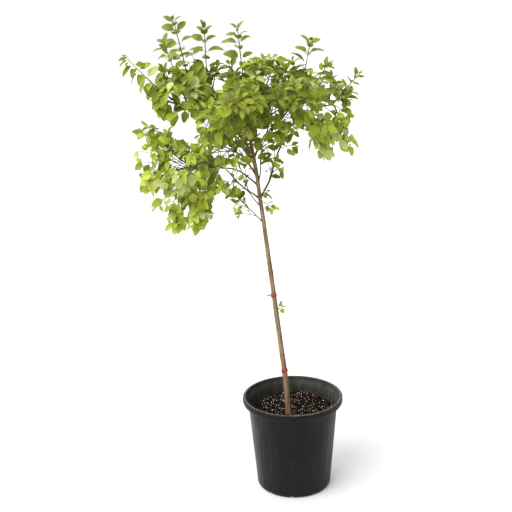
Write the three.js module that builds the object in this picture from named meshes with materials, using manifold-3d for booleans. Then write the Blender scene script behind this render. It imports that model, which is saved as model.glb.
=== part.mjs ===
// A potted duranta: a small shrub trained as a standard, on a thin trunk that leans to the left.
// Its loose crown stands up in single shoots at the top and hangs low on the left side, and it
// grows in a black nursery pot. Sizes are in millimetres, +X is right, +Y is back and +Z is up,
// and the origin is the middle of the pot's flat underside.
import * as THREE from 'three';
import { mergeVertices } from 'three/addons/utils/BufferGeometryUtils.js';
import Module from 'manifold-3d';

const GAP = 0.3; // left between two pieces that touch
const MERGE = 1e-4; // corners closer than this are one
const FULL_TURN = 360;

const POT = {
  height: 283, lipRadius: 150, rimRadius: 141.5, lipRound: 4, lipFoot: 8, wall: 3, floor: 4,
  neckRadius: 134, neckHeight: 262, baseRadius: 112, baseRound: 9, segments: 32,
};
const NOTCH = { count: 10, width: 13, height: 8, depth: 40, beyond: 4, firstAngle: -133 };
const SOIL = { level: 232, clearance: 0.6, baseHeight: 8, baseInset: 6, sideInset: 1, flatRadius: 45 };

const TRUNK = {
  foot: 8.8, top: 3, flare: 6, flareHeight: 20, groundBlock: 60, sides: 10, steps: 20,
  route: [
    [-12, -14, 224], [-13, -14, 238], [-22, -10, 356], [-34, -7, 460], [-48, -4, 586], [-63, -2, 720],
    [-75, 0, 828], [-84, 0, 901], [-89, 0, 950], [-97, 0, 1001], [-105, 0, 1058], [-107, 0, 1113],
    [-116, 0, 1174],
  ],
};

// Each bough leaves its parent at a share of the parent's length and passes through its route.
// Radii are at its foot and its tip.
const BOUGHS = [
  { name: 'low_left_bough', parent: 'trunk', at: 0.622, radii: [1.9, 1.6],
    route: [[-108, -8, 854], [-122, -12, 869]] },
  { name: 'thin_left_bough', parent: 'trunk', at: 0.67, radii: [2.1, 1.6],
    route: [[-110, 8, 900], [-123, 14, 937], [-136, 20, 971]] },
  { name: 'left_bough', parent: 'trunk', at: 0.697, radii: [3.2, 2.2],
    route: [[-137, -25, 933], [-174, -50, 980], [-208, -70, 1009]] },
  { name: 'arching_left_bough', parent: 'trunk', at: 0.738, radii: [3.2, 2],
    route: [[-145, 5, 969], [-190, 12, 975], [-253, 20, 974], [-288, 25, 970]] },
  { name: 'right_bough', parent: 'trunk', at: 0.697, radii: [3.6, 2.6],
    route: [[-52, 5, 942], [-40, 8, 984], [-22, 12, 1029], [5, 18, 1078], [25, 22, 1113]] },
  { name: 'outer_right_bough', parent: 'right_bough', at: 0.9, radii: [2.2, 1.8],
    route: [[63, 30, 1126], [105, 35, 1138], [130, 38, 1140]] },
  { name: 'inner_right_bough', parent: 'trunk', at: 0.745, radii: [2.6, 2],
    route: [[-80, -12, 960], [-78, -20, 1005], [-70, -32, 1047], [-58, -42, 1064]] },
  { name: 'upper_left_bough', parent: 'trunk', at: 0.835, radii: [3, 2.2],
    route: [[-114, -10, 1037], [-141, -25, 1076], [-189, -40, 1120], [-247, -50, 1149],
      [-295, -55, 1162]] },
  { name: 'rising_left_bough', parent: 'trunk', at: 0.875, radii: [2.6, 2],
    route: [[-140, 12, 1085], [-190, 18, 1128], [-231, 18, 1149], [-258, 15, 1168]] },
  { name: 'upright_left_bough', parent: 'trunk', at: 0.905, radii: [2.4, 1.9],
    route: [[-149, 25, 1118], [-196, 45, 1153], [-221, 55, 1185]] },
  { name: 'front_bough', parent: 'trunk', at: 0.86, radii: [2.8, 2],
    route: [[-110, -50, 1075], [-114, -95, 1112]] },
  { name: 'front_left_bough', parent: 'trunk', at: 0.815, radii: [2.8, 2],
    route: [[-130, -45, 1040], [-165, -95, 1072]] },
  { name: 'front_right_bough', parent: 'trunk', at: 0.89, radii: [2.6, 2],
    route: [[-80, -50, 1110], [-50, -85, 1128]] },
  { name: 'back_bough', parent: 'trunk', at: 0.845, radii: [2.8, 2],
    route: [[-105, 55, 1060], [-106, 110, 1095]] },
  { name: 'back_left_bough', parent: 'trunk', at: 0.8, radii: [2.8, 2],
    route: [[-140, 60, 1050], [-190, 105, 1095]] },
  { name: 'low_back_bough', parent: 'trunk', at: 0.765, radii: [2.8, 2],
    route: [[-130, 60, 1000], [-180, 120, 1020]] },
  { name: 'back_right_bough', parent: 'trunk', at: 0.82, radii: [2.8, 2],
    route: [[-60, 55, 1060], [-15, 105, 1095]] },
];

// Each mass grows on one stem, from a limb to its tip. Its girth is how far it reaches round the
// stem at its foot and at its tip, rise is how far the stem bows upwards, and lift turns its twigs
// up or lets them hang.
const MASSES = [
  { name: 'leader_shoot', limb: 'trunk', at: 1, tip: [-134, -5, 1362],
    girth: [74, 42], rise: 0, lift: 1 },
  { name: 'far_left_shoot', limb: 'upper_left_bough', at: 1, tip: [-428, -70, 1292],
    girth: [66, 42], rise: -16, lift: 0.3 },
  { name: 'second_left_shoot', limb: 'upper_left_bough', at: 0.9, tip: [-332, -30, 1333],
    girth: [56, 38], rise: -6, lift: 0.8 },
  { name: 'tallest_shoot', limb: 'rising_left_bough', at: 1, tip: [-303, 10, 1388],
    girth: [66, 44], rise: 0, lift: 1 },
  { name: 'upright_left_shoot', limb: 'upright_left_bough', at: 1, tip: [-226, 60, 1368],
    girth: [66, 42], rise: 0, lift: 1 },
  { name: 'upper_front_spray', limb: 'front_right_bough', at: 0.72, tip: [-84, -92, 1256],
    girth: [62, 50], rise: 0, lift: 0.8 },
  { name: 'upper_back_spray', limb: 'trunk', at: 0.93, tip: [-24, 80, 1262],
    girth: [66, 52], rise: 0, lift: 0.8 },
  { name: 'upper_right_shoot', limb: 'right_bough', at: 1, tip: [67, 15, 1318],
    girth: [74, 42], rise: 0, lift: 1 },
  { name: 'right_front_shoot', limb: 'right_bough', at: 0.96, tip: [109, -46, 1258],
    girth: [66, 46], rise: 8, lift: 0.6 },
  { name: 'far_right_shoot', limb: 'outer_right_bough', at: 0.97, tip: [188, 30, 1228],
    girth: [60, 38], rise: 0, lift: 0.4 },
  { name: 'right_hanging_spray', limb: 'outer_right_bough', at: 0.6, tip: [108, -8, 1020],
    girth: [56, 46], rise: 6, lift: -1 },
  { name: 'far_right_hanging_spray', limb: 'outer_right_bough', at: 1, tip: [180, 44, 1044],
    girth: [52, 44], rise: 24, lift: -1 },
  { name: 'front_crown', limb: 'front_bough', at: 1, tip: [-130, -215, 1190],
    girth: [70, 66], rise: 0, lift: 0.2 },
  { name: 'front_left_crown', limb: 'front_left_bough', at: 1, tip: [-212, -190, 1128],
    girth: [66, 66], rise: 8, lift: 0 },
  { name: 'front_right_crown', limb: 'front_right_bough', at: 1, tip: [40, -180, 1180],
    girth: [70, 66], rise: 10, lift: 0.2 },
  { name: 'inner_right_crown', limb: 'inner_right_bough', at: 1, tip: [10, -90, 1160],
    girth: [58, 56], rise: 0, lift: 0.3 },
  { name: 'inner_left_crown', limb: 'front_left_bough', at: 0.55, tip: [-186, -118, 1022],
    girth: [48, 48], rise: 14, lift: -0.6 },
  { name: 'back_crown', limb: 'back_bough', at: 1, tip: [-112, 235, 1175],
    girth: [78, 72], rise: 8, lift: 0.2 },
  { name: 'back_left_crown', limb: 'back_left_bough', at: 1, tip: [-285, 190, 1212],
    girth: [70, 66], rise: 8, lift: 0.4 },
  { name: 'back_right_crown', limb: 'back_right_bough', at: 1, tip: [75, 180, 1185],
    girth: [76, 70], rise: 8, lift: 0.2 },
  { name: 'middle_left_crown', limb: 'trunk', at: 0.95, tip: [-225, -15, 1180],
    girth: [56, 54], rise: 0, lift: 0.4 },
  { name: 'under_left_crown', limb: 'upper_left_bough', at: 0.42, tip: [-216, -72, 1052],
    girth: [48, 48], rise: 20, lift: -0.4 },
  { name: 'low_front_crown', limb: 'front_bough', at: 0.62, tip: [-150, -118, 1058],
    girth: [46, 46], rise: 16, lift: -0.4 },
  { name: 'under_shoot_spray', limb: 'upper_left_bough', at: 0.75, tip: [-325, -85, 1140],
    girth: [36, 36], rise: 12, lift: -0.6 },
  { name: 'left_rising_spray', limb: 'arching_left_bough', at: 0.88, tip: [-392, 8, 1102],
    girth: [62, 56], rise: -30, lift: 0 },
  { name: 'far_left_hanging_spray', limb: 'arching_left_bough', at: 1, tip: [-416, 42, 928],
    girth: [60, 62], rise: 34, lift: -0.7 },
  { name: 'low_left_hanging_spray', limb: 'arching_left_bough', at: 0.8, tip: [-338, -12, 820],
    girth: [62, 54], rise: 20, lift: -1 },
  { name: 'low_middle_hanging_spray', limb: 'left_bough', at: 0.86, tip: [-256, -62, 824],
    girth: [54, 52], rise: 20, lift: -1 },
  { name: 'front_hanging_spray', limb: 'left_bough', at: 1, tip: [-330, -125, 945],
    girth: [60, 60], rise: 36, lift: -0.7 },
  { name: 'back_hanging_spray', limb: 'low_back_bough', at: 1, tip: [-310, 150, 918],
    girth: [68, 70], rise: 30, lift: -0.7 },
  { name: 'left_band_spray', limb: 'left_bough', at: 0.74, tip: [-282, -30, 1048],
    girth: [46, 44], rise: 0, lift: 0 },
  { name: 'low_left_spray', limb: 'low_left_bough', at: 1, tip: [-176, -28, 932],
    girth: [40, 36], rise: 0, lift: -0.4 },
  { name: 'inner_left_spray', limb: 'thin_left_bough', at: 1, tip: [-158, 35, 1022],
    girth: [40, 36], rise: 0, lift: 0 },
  { name: 'inner_right_spray', limb: 'right_bough', at: 0.42, tip: [-60, -30, 1020],
    girth: [32, 32], rise: -16, lift: -0.4 },
  { name: 'under_right_spray', limb: 'right_bough', at: 0.72, tip: [30, -16, 1044],
    girth: [30, 30], rise: 14, lift: -0.8 },
  { name: 'fork_spray', limb: 'trunk', at: 0.69, tip: [-50, -10, 862],
    girth: [24, 24], rise: 6, lift: -0.6 },
  { name: 'trunk_shoot', limb: 'trunk', at: 0.35, tip: [-30, -6, 562],
    girth: [22, 22], rise: 0, lift: 0.6 },
];

// Radii, and the numbers of sides and of steps along, of the limbs, stems and twigs. A twig grows
// where its mass's own space has the room for it, and its shares keep its leaves inside that space.
const BOUGH = { sides: 5, extraSteps: 2 };
const STEM = { foot: 2.3, tip: 1.2, steps: 3, sides: 3 };
const TWIG = {
  foot: 1.1, tip: 0.8, sides: 3, room: 57, shortest: 22, leafRoom: 0.5, lengths: [0.85, 1],
  spread: 58, bend: 0.35, roomStep: 8, checks: 8, endGap: 0.6,
};
// Leaves and twigs stand in pairs at nodes, and each pair is turned from the last.
const NODE = { spacing: 35, turn: 90, bareFoot: 24, last: 0.93, jitter: 14 };
// A leaf that has no room is tried again at a smaller size, down to the smallest share of its length.
const LEAF = {
  length: 53, widthShare: 0.62, widest: 0.42, ribPlace: 0.15, thickness: 1.1, rootStep: 0.2,
  spread: 56, droop: 0.25, sway: 0.15, twist: 0.7, sizes: [0.85, 1.1],
  apart: 21, shrink: 0.8, smallest: 0.36, nearby: 1.2,
};
const TUFT = { size: 0.8, pairAt: 0.97, endAt: 0.99, tilt: 0.2 };
// A leaf's root, tip, left and right corners and its rib, and the faces between them.
const LEAF_CORNERS = [[0, -1, 0], [0, 1, 0], [-1, 0, 0], [1, 0, 0], [0, 0, 1]];
const LEAF_FACES = [[0, 3, 4], [0, 4, 2], [1, 4, 3], [1, 2, 4], [0, 2, 3], [1, 3, 2]];
// A mass's space is a long round form, fuller than an ellipsoid, and its twigs keep off the limbs.
const SPACE = { fullness: 3, between: 3, overhang: 16, limbGap: 1.4, limbStep: 6 };
const LIGHT = [-0.1, -0.6, 0.6]; // the way that leaves turn their upper faces
const SEED = { first: 101, step: 37 };
const RANDOM = { factor: 16807, modulus: 2147483647 };

// Two soft ties on the trunk, each at a share of its length.
const TIES = [{ name: 'upper_tie', at: 0.398, tail: 12 }, { name: 'lower_tie', at: 0.152, tail: 0 }];
const TIE = { height: 5, thickness: 1.2, tailHeight: 2.4, tailThickness: 1.2, clearance: 0.6 };

const FINISH = {
  pot: { color: 0x292b2a, roughness: 0.5, metalness: 0 },
  soil: { color: 0x3a2c22, roughness: 1, metalness: 0 },
  bark: { color: 0xb39a72, roughness: 0.85, metalness: 0 },
  leaf: { color: 0x7c9632, roughness: 0.6, metalness: 0 },
  tie: { color: 0xb03a34, roughness: 0.6, metalness: 0 },
};

const wasm = await Module();
wasm.setup();
const UP = new THREE.Vector3(0, 0, 1);
const LEVEL = 0.9; // a stem whose direction rises more than this counts as upright
const shrub = new THREE.Group();

function vector(point) {
  return new THREE.Vector3(...point);
}

function mix(from, to, share) {
  return from + (to - from) * share;
}

/** A repeatable run of numbers from 0 to 1. */
class Draw {
  constructor(seed) {
    this.state = seed;
  }

  next() {
    this.state = (this.state * RANDOM.factor) % RANDOM.modulus;
    return this.state / RANDOM.modulus;
  }

  between(low, high) {
    return mix(low, high, this.next());
  }
}

function weld(geometry) {
  geometry.deleteAttribute('normal');
  geometry.deleteAttribute('uv');
  return mergeVertices(geometry, MERGE);
}

function toSolid(geometry) {
  return new wasm.Manifold(new wasm.Mesh({
    numProp: 3,
    vertProperties: new Float32Array(geometry.attributes.position.array),
    triVerts: new Uint32Array(geometry.index.array),
  }));
}

function toGeometry(solid) {
  const mesh = solid.getMesh();
  const geometry = new THREE.BufferGeometry();
  geometry.setAttribute('position', new THREE.BufferAttribute(mesh.vertProperties, 3));
  geometry.setIndex(new THREE.BufferAttribute(mesh.triVerts, 1));
  return geometry;
}

function addPart(name, solid, finish) {
  const mesh = new THREE.Mesh(toGeometry(solid), new THREE.MeshStandardMaterial(FINISH[finish]));
  mesh.name = name;
  shrub.add(mesh);
}

/** A closed round piece bent along a path, with its own radius at each share of the length. A margin
 * makes it larger all round and past its tip. */
function taperedTube({ path, radiusAt, sides, steps }, margin = 0) {
  const geometry = weld(new THREE.CylinderGeometry(1, 1, 1, sides, steps));
  const frames = path.computeFrenetFrames(steps, false);
  const position = geometry.attributes.position;
  for (let i = 0; i < position.count; i += 1) {
    const ring = Math.round((position.getY(i) + 0.5) * steps);
    const radius = radiusAt(ring / steps) + margin / Math.cos(Math.PI / sides);
    const place = path.getPointAt(ring / steps)
      .addScaledVector(frames.normals[ring], position.getX(i) * radius)
      .addScaledVector(frames.binormals[ring], -position.getZ(i) * radius)
      .addScaledVector(frames.tangents[ring], ring === steps ? margin : 0);
    position.setXYZ(i, place.x, place.y, place.z);
  }
  return toSolid(geometry);
}

/** A point on the straight piece between two rings of a limb, at a share of its length. */
function pointOn({ path, steps }, share) {
  const ring = Math.min(Math.floor(share * steps), steps - 1);
  return path.getPointAt(ring / steps).lerp(path.getPointAt((ring + 1) / steps), share * steps - ring);
}

/** The points and radii along a limb that twigs and leaves have to keep clear of. */
function samplesOf(limb) {
  const count = Math.ceil(limb.path.getLength() / SPACE.limbStep);
  return Array.from({ length: count + 1 }, (_, i) => ({
    point: pointOn(limb, i / count), radius: limb.radiusAt(i / count),
  }));
}

/** The block that cuts the trunk's foot flat, level with the soil. */
function belowGround() {
  const block = weld(new THREE.BoxGeometry(TRUNK.groundBlock, TRUNK.groundBlock, TRUNK.groundBlock));
  block.translate(TRUNK.route[0][0], TRUNK.route[0][1], SOIL.level + GAP - TRUNK.groundBlock / 2);
  return toSolid(block);
}

/** The trunk, which widens quickly towards the ground. */
function makeTrunk() {
  const path = new THREE.CatmullRomCurve3(TRUNK.route.map(vector));
  const length = path.getLength();
  const radiusAt = (u) => mix(TRUNK.foot, TRUNK.top, u)
    + TRUNK.flare * Math.exp((-u * length) / TRUNK.flareHeight);
  return { name: 'trunk', path, radiusAt, sides: TRUNK.sides, steps: TRUNK.steps };
}

function makeBough(bough, limbs) {
  const foot = pointOn(limbs.get(bough.parent), bough.at);
  const path = new THREE.CatmullRomCurve3([foot, ...bough.route.map(vector)]);
  const radiusAt = (u) => mix(bough.radii[0], bough.radii[1], u);
  return { ...bough, path, radiusAt, sides: BOUGH.sides, steps: bough.route.length + BOUGH.extraSteps };
}

function makeStem(mass, limbs) {
  const foot = pointOn(limbs.get(mass.limb), mass.at);
  const tip = vector(mass.tip);
  const middle = foot.clone().lerp(tip, 0.5).addScaledVector(UP, mass.rise);
  const path = new THREE.QuadraticBezierCurve3(foot, middle, tip);
  const radiusAt = (u) => mix(STEM.foot, STEM.tip, u);
  return { ...mass, path, radiusAt, sides: STEM.sides, steps: STEM.steps };
}

/** The long round space that a mass fills, about the line from its stem's foot to its tip. */
function spaceOf(stem) {
  const foot = stem.path.getPointAt(0);
  const tip = stem.path.getPointAt(1);
  const axis = tip.clone().sub(foot).normalize();
  const half = foot.distanceTo(tip) / 2 + SPACE.overhang;
  const centre = stem.path.getPoint(0.5).addScaledVector(axis, SPACE.overhang / 2);
  return { axis, half, centre, girth: stem.girth };
}

/** How far a point is outside a space, in millimetres, or inside it as a negative number. */
function outside(space, point) {
  const offset = point.clone().sub(space.centre);
  const along = offset.dot(space.axis);
  const across = Math.sqrt(Math.max(offset.lengthSq() - along * along, 0));
  const share = THREE.MathUtils.clamp((along / space.half + 1) / 2, 0, 1);
  const girth = mix(space.girth[0], space.girth[1], share);
  const size = (Math.abs(along / space.half) ** SPACE.fullness + (across / girth) ** SPACE.fullness)
    ** (1 / SPACE.fullness);
  return (size - 1) * girth;
}

function inOwnSpace(mass, point) {
  const own = outside(mass.space, point);
  return own <= 0 && mass.neighbours.every((other) => outside(other, point) > own + SPACE.between);
}

/** The four corners of a leaf's outline, and the two triangles between them. */
function leafOutline(leaf) {
  const across = leaf.direction.clone().cross(leaf.normal);
  const middle = leaf.root.clone().addScaledVector(leaf.direction, leaf.length * LEAF.widest);
  const halfWidth = (leaf.length * LEAF.widthShare) / 2;
  const left = middle.clone().addScaledVector(across, -halfWidth);
  const right = middle.clone().addScaledVector(across, halfWidth);
  const tip = leaf.root.clone().addScaledVector(leaf.direction, leaf.length);
  return [leaf.root, left, tip, right];
}

function halvesOf(leaf) {
  const [root, left, tip, right] = leafOutline(leaf);
  return [new THREE.Triangle(root, left, tip), new THREE.Triangle(root, tip, right)];
}

/** Whether an edge of one leaf's outline runs through the other leaf. */
function leavesCross(first, second) {
  const ray = new THREE.Ray();
  const hit = new THREE.Vector3();
  return [[first, second], [second, first]].some(([one, other]) => {
    const outline = leafOutline(one);
    const halves = halvesOf(other);
    return outline.some((start, i) => {
      const edge = outline[(i + 1) % outline.length].clone().sub(start);
      ray.set(start, edge.clone().normalize());
      return halves.some((half) => ray.intersectTriangle(half.a, half.b, half.c, false, hit)
        && hit.distanceTo(start) < edge.length());
    });
  });
}

/** Whether a leaf stays in its mass's space and clear of limbs, other stems and other leaves. */
function leafFits(mass, leaf) {
  const [, left, tip, right] = leafOutline(leaf);
  const heart = left.clone().lerp(right, 0.5);
  const near = mass.leaves.filter((other) => other.heart.distanceTo(heart) < LEAF.length * LEAF.nearby);
  if (near.some((other) => other.heart.distanceTo(heart) < LEAF.apart || leavesCross(other, leaf))) {
    return false;
  }
  const corners = [heart, left, tip, right, tip.clone().lerp(left, 0.5), tip.clone().lerp(right, 0.5)];
  if (!corners.every((corner) => inOwnSpace(mass, corner))) {
    return false;
  }
  const halves = halvesOf(leaf);
  const nearest = new THREE.Vector3();
  const touches = (sample) => halves.some((half) => half.closestPointToPoint(sample.point, nearest)
    .distanceTo(sample.point) < sample.radius + SPACE.limbGap);
  return !mass.limbSamples.some((sample) => sample.point.distanceTo(heart) < leaf.length
    && touches(sample));
}

/** A leaf blade of six faces, widest below its middle and thickest near its root. */
function leafSolid(leaf) {
  const [root, left, tip, right] = leafOutline(leaf);
  const rib = root.clone().addScaledVector(leaf.direction, leaf.length * LEAF.ribPlace)
    .addScaledVector(leaf.normal, LEAF.thickness);
  const corners = [root, tip, left, right, rib];
  const geometry = weld(new THREE.PolyhedronGeometry(LEAF_CORNERS.flat(), LEAF_FACES.flat(), 1, 0));
  const position = geometry.attributes.position;
  for (let i = 0; i < position.count; i += 1) {
    const own = [position.getX(i), position.getY(i), position.getZ(i)].map(Math.round);
    const corner = corners[LEAF_CORNERS.findIndex((other) => other.every((value, k) => value === own[k]))];
    position.setXYZ(i, corner.x, corner.y, corner.z);
  }
  return toSolid(geometry);
}

/** Adds a leaf at a node, smaller where the space is narrow, or none where no size fits. */
function growLeaf(mass, node, direction, normalHint, size) {
  const root = node.clone().addScaledVector(direction, LEAF.rootStep);
  const normal = normalHint.clone().addScaledVector(direction, -normalHint.dot(direction)).normalize();
  for (let length = size; length > LEAF.length * LEAF.smallest; length *= LEAF.shrink) {
    const leaf = { root, direction, normal, length };
    if (leafFits(mass, leaf)) {
      const [, left, , right] = leafOutline(leaf);
      mass.leaves.push({ ...leaf, heart: left.lerp(right, 0.5) });
      mass.solids.push(leafSolid(leaf));
      return;
    }
  }
}

/** The direction of a leaf or twig that stands off a stem at an angle in degrees. */
function standOff(along, outward, angle) {
  const radians = THREE.MathUtils.degToRad(angle);
  return along.clone().multiplyScalar(Math.cos(radians))
    .addScaledVector(outward, Math.sin(radians)).normalize();
}

/** A leaf's upper face looks up and to the front, where the light comes from, and a little at random. */
function facing(draw) {
  const turn = new THREE.Vector3(draw.between(-1, 1), draw.between(-1, 1), draw.between(-1, 1));
  return vector(LIGHT).addScaledVector(turn, LEAF.twist);
}

/** A pair of leaves, one on each side of a node. */
function growPair(mass, point, along, outward, size, draw) {
  for (const side of [1, -1]) {
    const direction = standOff(along, outward.clone().multiplyScalar(side), LEAF.spread);
    direction.addScaledVector(UP, draw.between(-LEAF.sway, LEAF.sway) - LEAF.droop).normalize();
    growLeaf(mass, point, direction, facing(draw), size * draw.between(...LEAF.sizes));
  }
}

/** The small leaves at the end of a stem or twig: a pair and one straight on. */
function growTuft(mass, stem, turn, draw) {
  const size = LEAF.length * TUFT.size;
  const along = stem.path.getTangentAt(1);
  const outward = acrossAt(along, turn);
  growPair(mass, pointOn(stem, TUFT.pairAt), along, outward, size, draw);
  const onward = along.clone().addScaledVector(outward, TUFT.tilt).normalize();
  growLeaf(mass, pointOn(stem, TUFT.endAt), onward, facing(draw), size);
}

/** How far a straight line runs inside a mass's own space. */
function roomAlong(mass, point, direction) {
  let room = 0;
  while (inOwnSpace(mass, point.clone().addScaledVector(direction, room + TWIG.roomStep))) {
    room += TWIG.roomStep;
  }
  return room;
}

/** Whether a twig's path stays in its mass's space and clear of the limbs and other stems. */
function pathIsClear(mass, path) {
  for (let i = 1; i <= TWIG.checks; i += 1) {
    const point = path.getPointAt(i / TWIG.checks);
    const near = mass.limbSamples.some((sample) => sample.point.distanceTo(point)
      < sample.radius + TWIG.foot + SPACE.limbGap);
    if (near || !inOwnSpace(mass, point)) {
      return false;
    }
  }
  return true;
}

/** Grows a side twig with its leaves, or none where it would leave the space or touch a limb. */
function growTwig(mass, foot, direction, room, draw) {
  const length = (room - LEAF.length * TWIG.leafRoom) * draw.between(...TWIG.lengths);
  const path = new THREE.LineCurve3(foot, foot.clone().addScaledVector(direction, length));
  if (length < TWIG.shortest || !pathIsClear(mass, path)) {
    return false;
  }
  const twig = { path, radiusAt: (u) => mix(TWIG.foot, TWIG.tip, u), sides: TWIG.sides, steps: 1 };
  mass.solids.push(taperedTube(twig));
  const nodes = Math.max(Math.round(length / NODE.spacing), 1);
  let turn = draw.between(0, FULL_TURN);
  for (let i = 1; i <= nodes; i += 1) {
    const share = i / (nodes + TWIG.endGap);
    const along = path.getTangentAt(share);
    const outward = acrossAt(along, turn);
    growPair(mass, path.getPointAt(share), along, outward, LEAF.length, draw);
    turn += NODE.turn;
  }
  growTuft(mass, twig, turn, draw);
  return true;
}

/** A direction across a stem, turned about it by an angle in degrees. */
function acrossAt(along, turn) {
  const side = Math.abs(along.z) > LEVEL ? new THREE.Vector3(1, 0, 0) : UP;
  return side.clone().cross(along).normalize().applyAxisAngle(along, THREE.MathUtils.degToRad(turn));
}

/** One mass of foliage: its stem, and at each node a pair of twigs or leaves. */
function growMass(mass, seed) {
  const draw = new Draw(seed);
  const length = mass.path.getLength();
  const nodes = Math.max(Math.floor((length - NODE.bareFoot) / NODE.spacing), 1);
  mass.solids.push(taperedTube(mass));
  let turn = draw.between(0, FULL_TURN / 2);
  for (let i = 0; i <= nodes; i += 1) {
    const share = mix(NODE.bareFoot / length, NODE.last, i / nodes);
    const point = pointOn(mass, share);
    const along = mass.path.getTangentAt(share);
    for (const side of [0, FULL_TURN / 2]) {
      const outward = acrossAt(along, turn + side + draw.between(-NODE.jitter, NODE.jitter));
      const direction = standOff(along, outward, TWIG.spread)
        .addScaledVector(UP, TWIG.bend * mass.lift).normalize();
      const room = roomAlong(mass, point, direction);
      if (room < TWIG.room || !growTwig(mass, point, direction, room, draw)) {
        const leafward = standOff(along, outward, LEAF.spread);
        leafward.addScaledVector(UP, -LEAF.droop).normalize();
        growLeaf(mass, point, leafward, facing(draw), LEAF.length * draw.between(...LEAF.sizes));
      }
    }
    turn += NODE.turn;
  }
  growTuft(mass, mass, turn, draw);
}

/** The greatest connected part of a solid, so that no loose scrap or sealed hollow stays. */
function mainPart(solid) {
  return solid.decompose().reduce((best, part) => (part.volume() > best.volume() ? part : best));
}

/** A round nursery pot with a flared lip, a rounded foot and notches that drain it. */
function addPot() {
  const { height, lipRadius, rimRadius, lipRound, lipFoot, wall, floor, neckRadius, neckHeight } = POT;
  const innerNeck = neckRadius - wall;
  const innerBase = POT.baseRadius - wall;
  const profile = [
    [0, 0], [POT.baseRadius - POT.baseRound, 0], [POT.baseRadius, POT.baseRound],
    [neckRadius, neckHeight], [lipRadius - lipRound, neckHeight + wall], [lipRadius, neckHeight + lipFoot],
    [lipRadius, height - lipRound], [lipRadius - lipRound, height], [rimRadius, height],
    [innerNeck, neckHeight - wall],
    [innerBase, floor], [0, floor],
  ].map(([x, y]) => new THREE.Vector2(x, y));
  const shell = weld(new THREE.LatheGeometry(profile, POT.segments));
  shell.rotateX(Math.PI / 2);
  let pot = toSolid(shell);
  for (let i = 0; i < NOTCH.count; i += 1) {
    const notch = weld(new THREE.BoxGeometry(NOTCH.depth, NOTCH.width, NOTCH.height * 2));
    notch.translate(POT.baseRadius + NOTCH.beyond, 0, 0);
    notch.rotateZ(THREE.MathUtils.degToRad(NOTCH.firstAngle + (FULL_TURN / NOTCH.count) * i));
    pot = pot.subtract(toSolid(notch));
  }
  addPart('pot', pot, 'pot');
}

/** The filling of the pot, from its floor up to the level that the trunk stands on. */
function addSoil() {
  const { level, baseHeight, baseInset, sideInset, flatRadius } = SOIL;
  const wallRise = POT.neckHeight - POT.baseRound;
  const outer = (z) => mix(POT.baseRadius, POT.neckRadius, (z - POT.baseRound) / wallRise);
  const inner = (z) => outer(z) - POT.wall - SOIL.clearance;
  const base = POT.floor + GAP;
  const profile = [
    [0, base], [inner(base) - baseInset, base], [inner(base + baseHeight) - sideInset, base + baseHeight],
    [inner(level), level], [(inner(level) + flatRadius) / 2, level], [flatRadius, level], [0, level],
  ].map(([x, y]) => new THREE.Vector2(x, y));
  const soil = weld(new THREE.LatheGeometry(profile, POT.segments));
  soil.rotateX(Math.PI / 2);
  addPart('soil', toSolid(soil), 'soil');
}

/** A ring round the trunk for each tie, the upper one with a loose tail to the left. */
function addTies(trunk) {
  const facet = Math.cos(Math.PI / TRUNK.sides);
  const half = TIE.height / 2;
  for (const tie of TIES) {
    const inner = (trunk.radiusAt(tie.at) + TIE.clearance) / facet;
    const outer = inner + TIE.thickness;
    const profile = [[inner, -half], [outer, -half], [outer, half], [inner, half], [inner, -half]]
      .map(([x, y]) => new THREE.Vector2(x, y));
    let ring = toSolid(weld(new THREE.LatheGeometry(profile, TRUNK.sides)).rotateX(Math.PI / 2));
    if (tie.tail > 0) {
      const tail = weld(new THREE.BoxGeometry(tie.tail, TIE.tailThickness, TIE.tailHeight));
      tail.translate(-inner - tie.tail / 2, 0, 0);
      ring = ring.add(toSolid(tail));
    }
    const turned = toGeometry(ring);
    const along = trunk.path.getTangentAt(tie.at);
    turned.applyQuaternion(new THREE.Quaternion().setFromUnitVectors(UP, along));
    turned.translate(...pointOn(trunk, tie.at).toArray());
    addPart(tie.name, toSolid(turned), 'tie');
  }
}

/** The trunk and its boughs, each bough's foot cut clear of its parent. */
function addLimbs() {
  const limbs = new Map([['trunk', makeTrunk()]]);
  for (const bough of BOUGHS) {
    limbs.set(bough.name, makeBough(bough, limbs));
  }
  for (const limb of limbs.values()) {
    const whole = taperedTube(limb);
    const cutter = limb.parent ? taperedTube(limbs.get(limb.parent), GAP) : belowGround();
    addPart(limb.name, mainPart(whole.subtract(cutter)), 'bark');
  }
  return limbs;
}

/** Every mass of foliage, grown in its own space and cut clear of the limb that carries it. */
function addMasses(limbs) {
  const masses = MASSES.map((mass) => makeStem(mass, limbs));
  masses.forEach((mass) => { mass.space = spaceOf(mass); });
  masses.forEach((mass, index) => {
    const others = masses.filter((other) => other !== mass);
    mass.neighbours = others.map((other) => other.space);
    mass.limbSamples = [...limbs.values(), ...others].flatMap(samplesOf);
    mass.leaves = [];
    mass.solids = [];
    growMass(mass, SEED.first + SEED.step * index);
    const whole = mass.solids.reduce((sum, solid) => sum.add(solid));
    addPart(mass.name, mainPart(whole.subtract(taperedTube(limbs.get(mass.limb), GAP))), 'leaf');
  });
}

addPot();
addSoil();
const limbs = addLimbs();
addTies(limbs.get('trunk'));
addMasses(limbs);

export default shrub;
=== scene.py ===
"""The looks of a potted duranta: a small shrub trained as a standard in a black nursery pot.

The trunk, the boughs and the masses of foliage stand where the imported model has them. Routes and
sizes are written in millimetres, +X is right, +Y is back and +Z is up.
"""
import math

import bmesh
import bpy
import numpy as np
from mathutils import Matrix, Vector, noise


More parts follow.
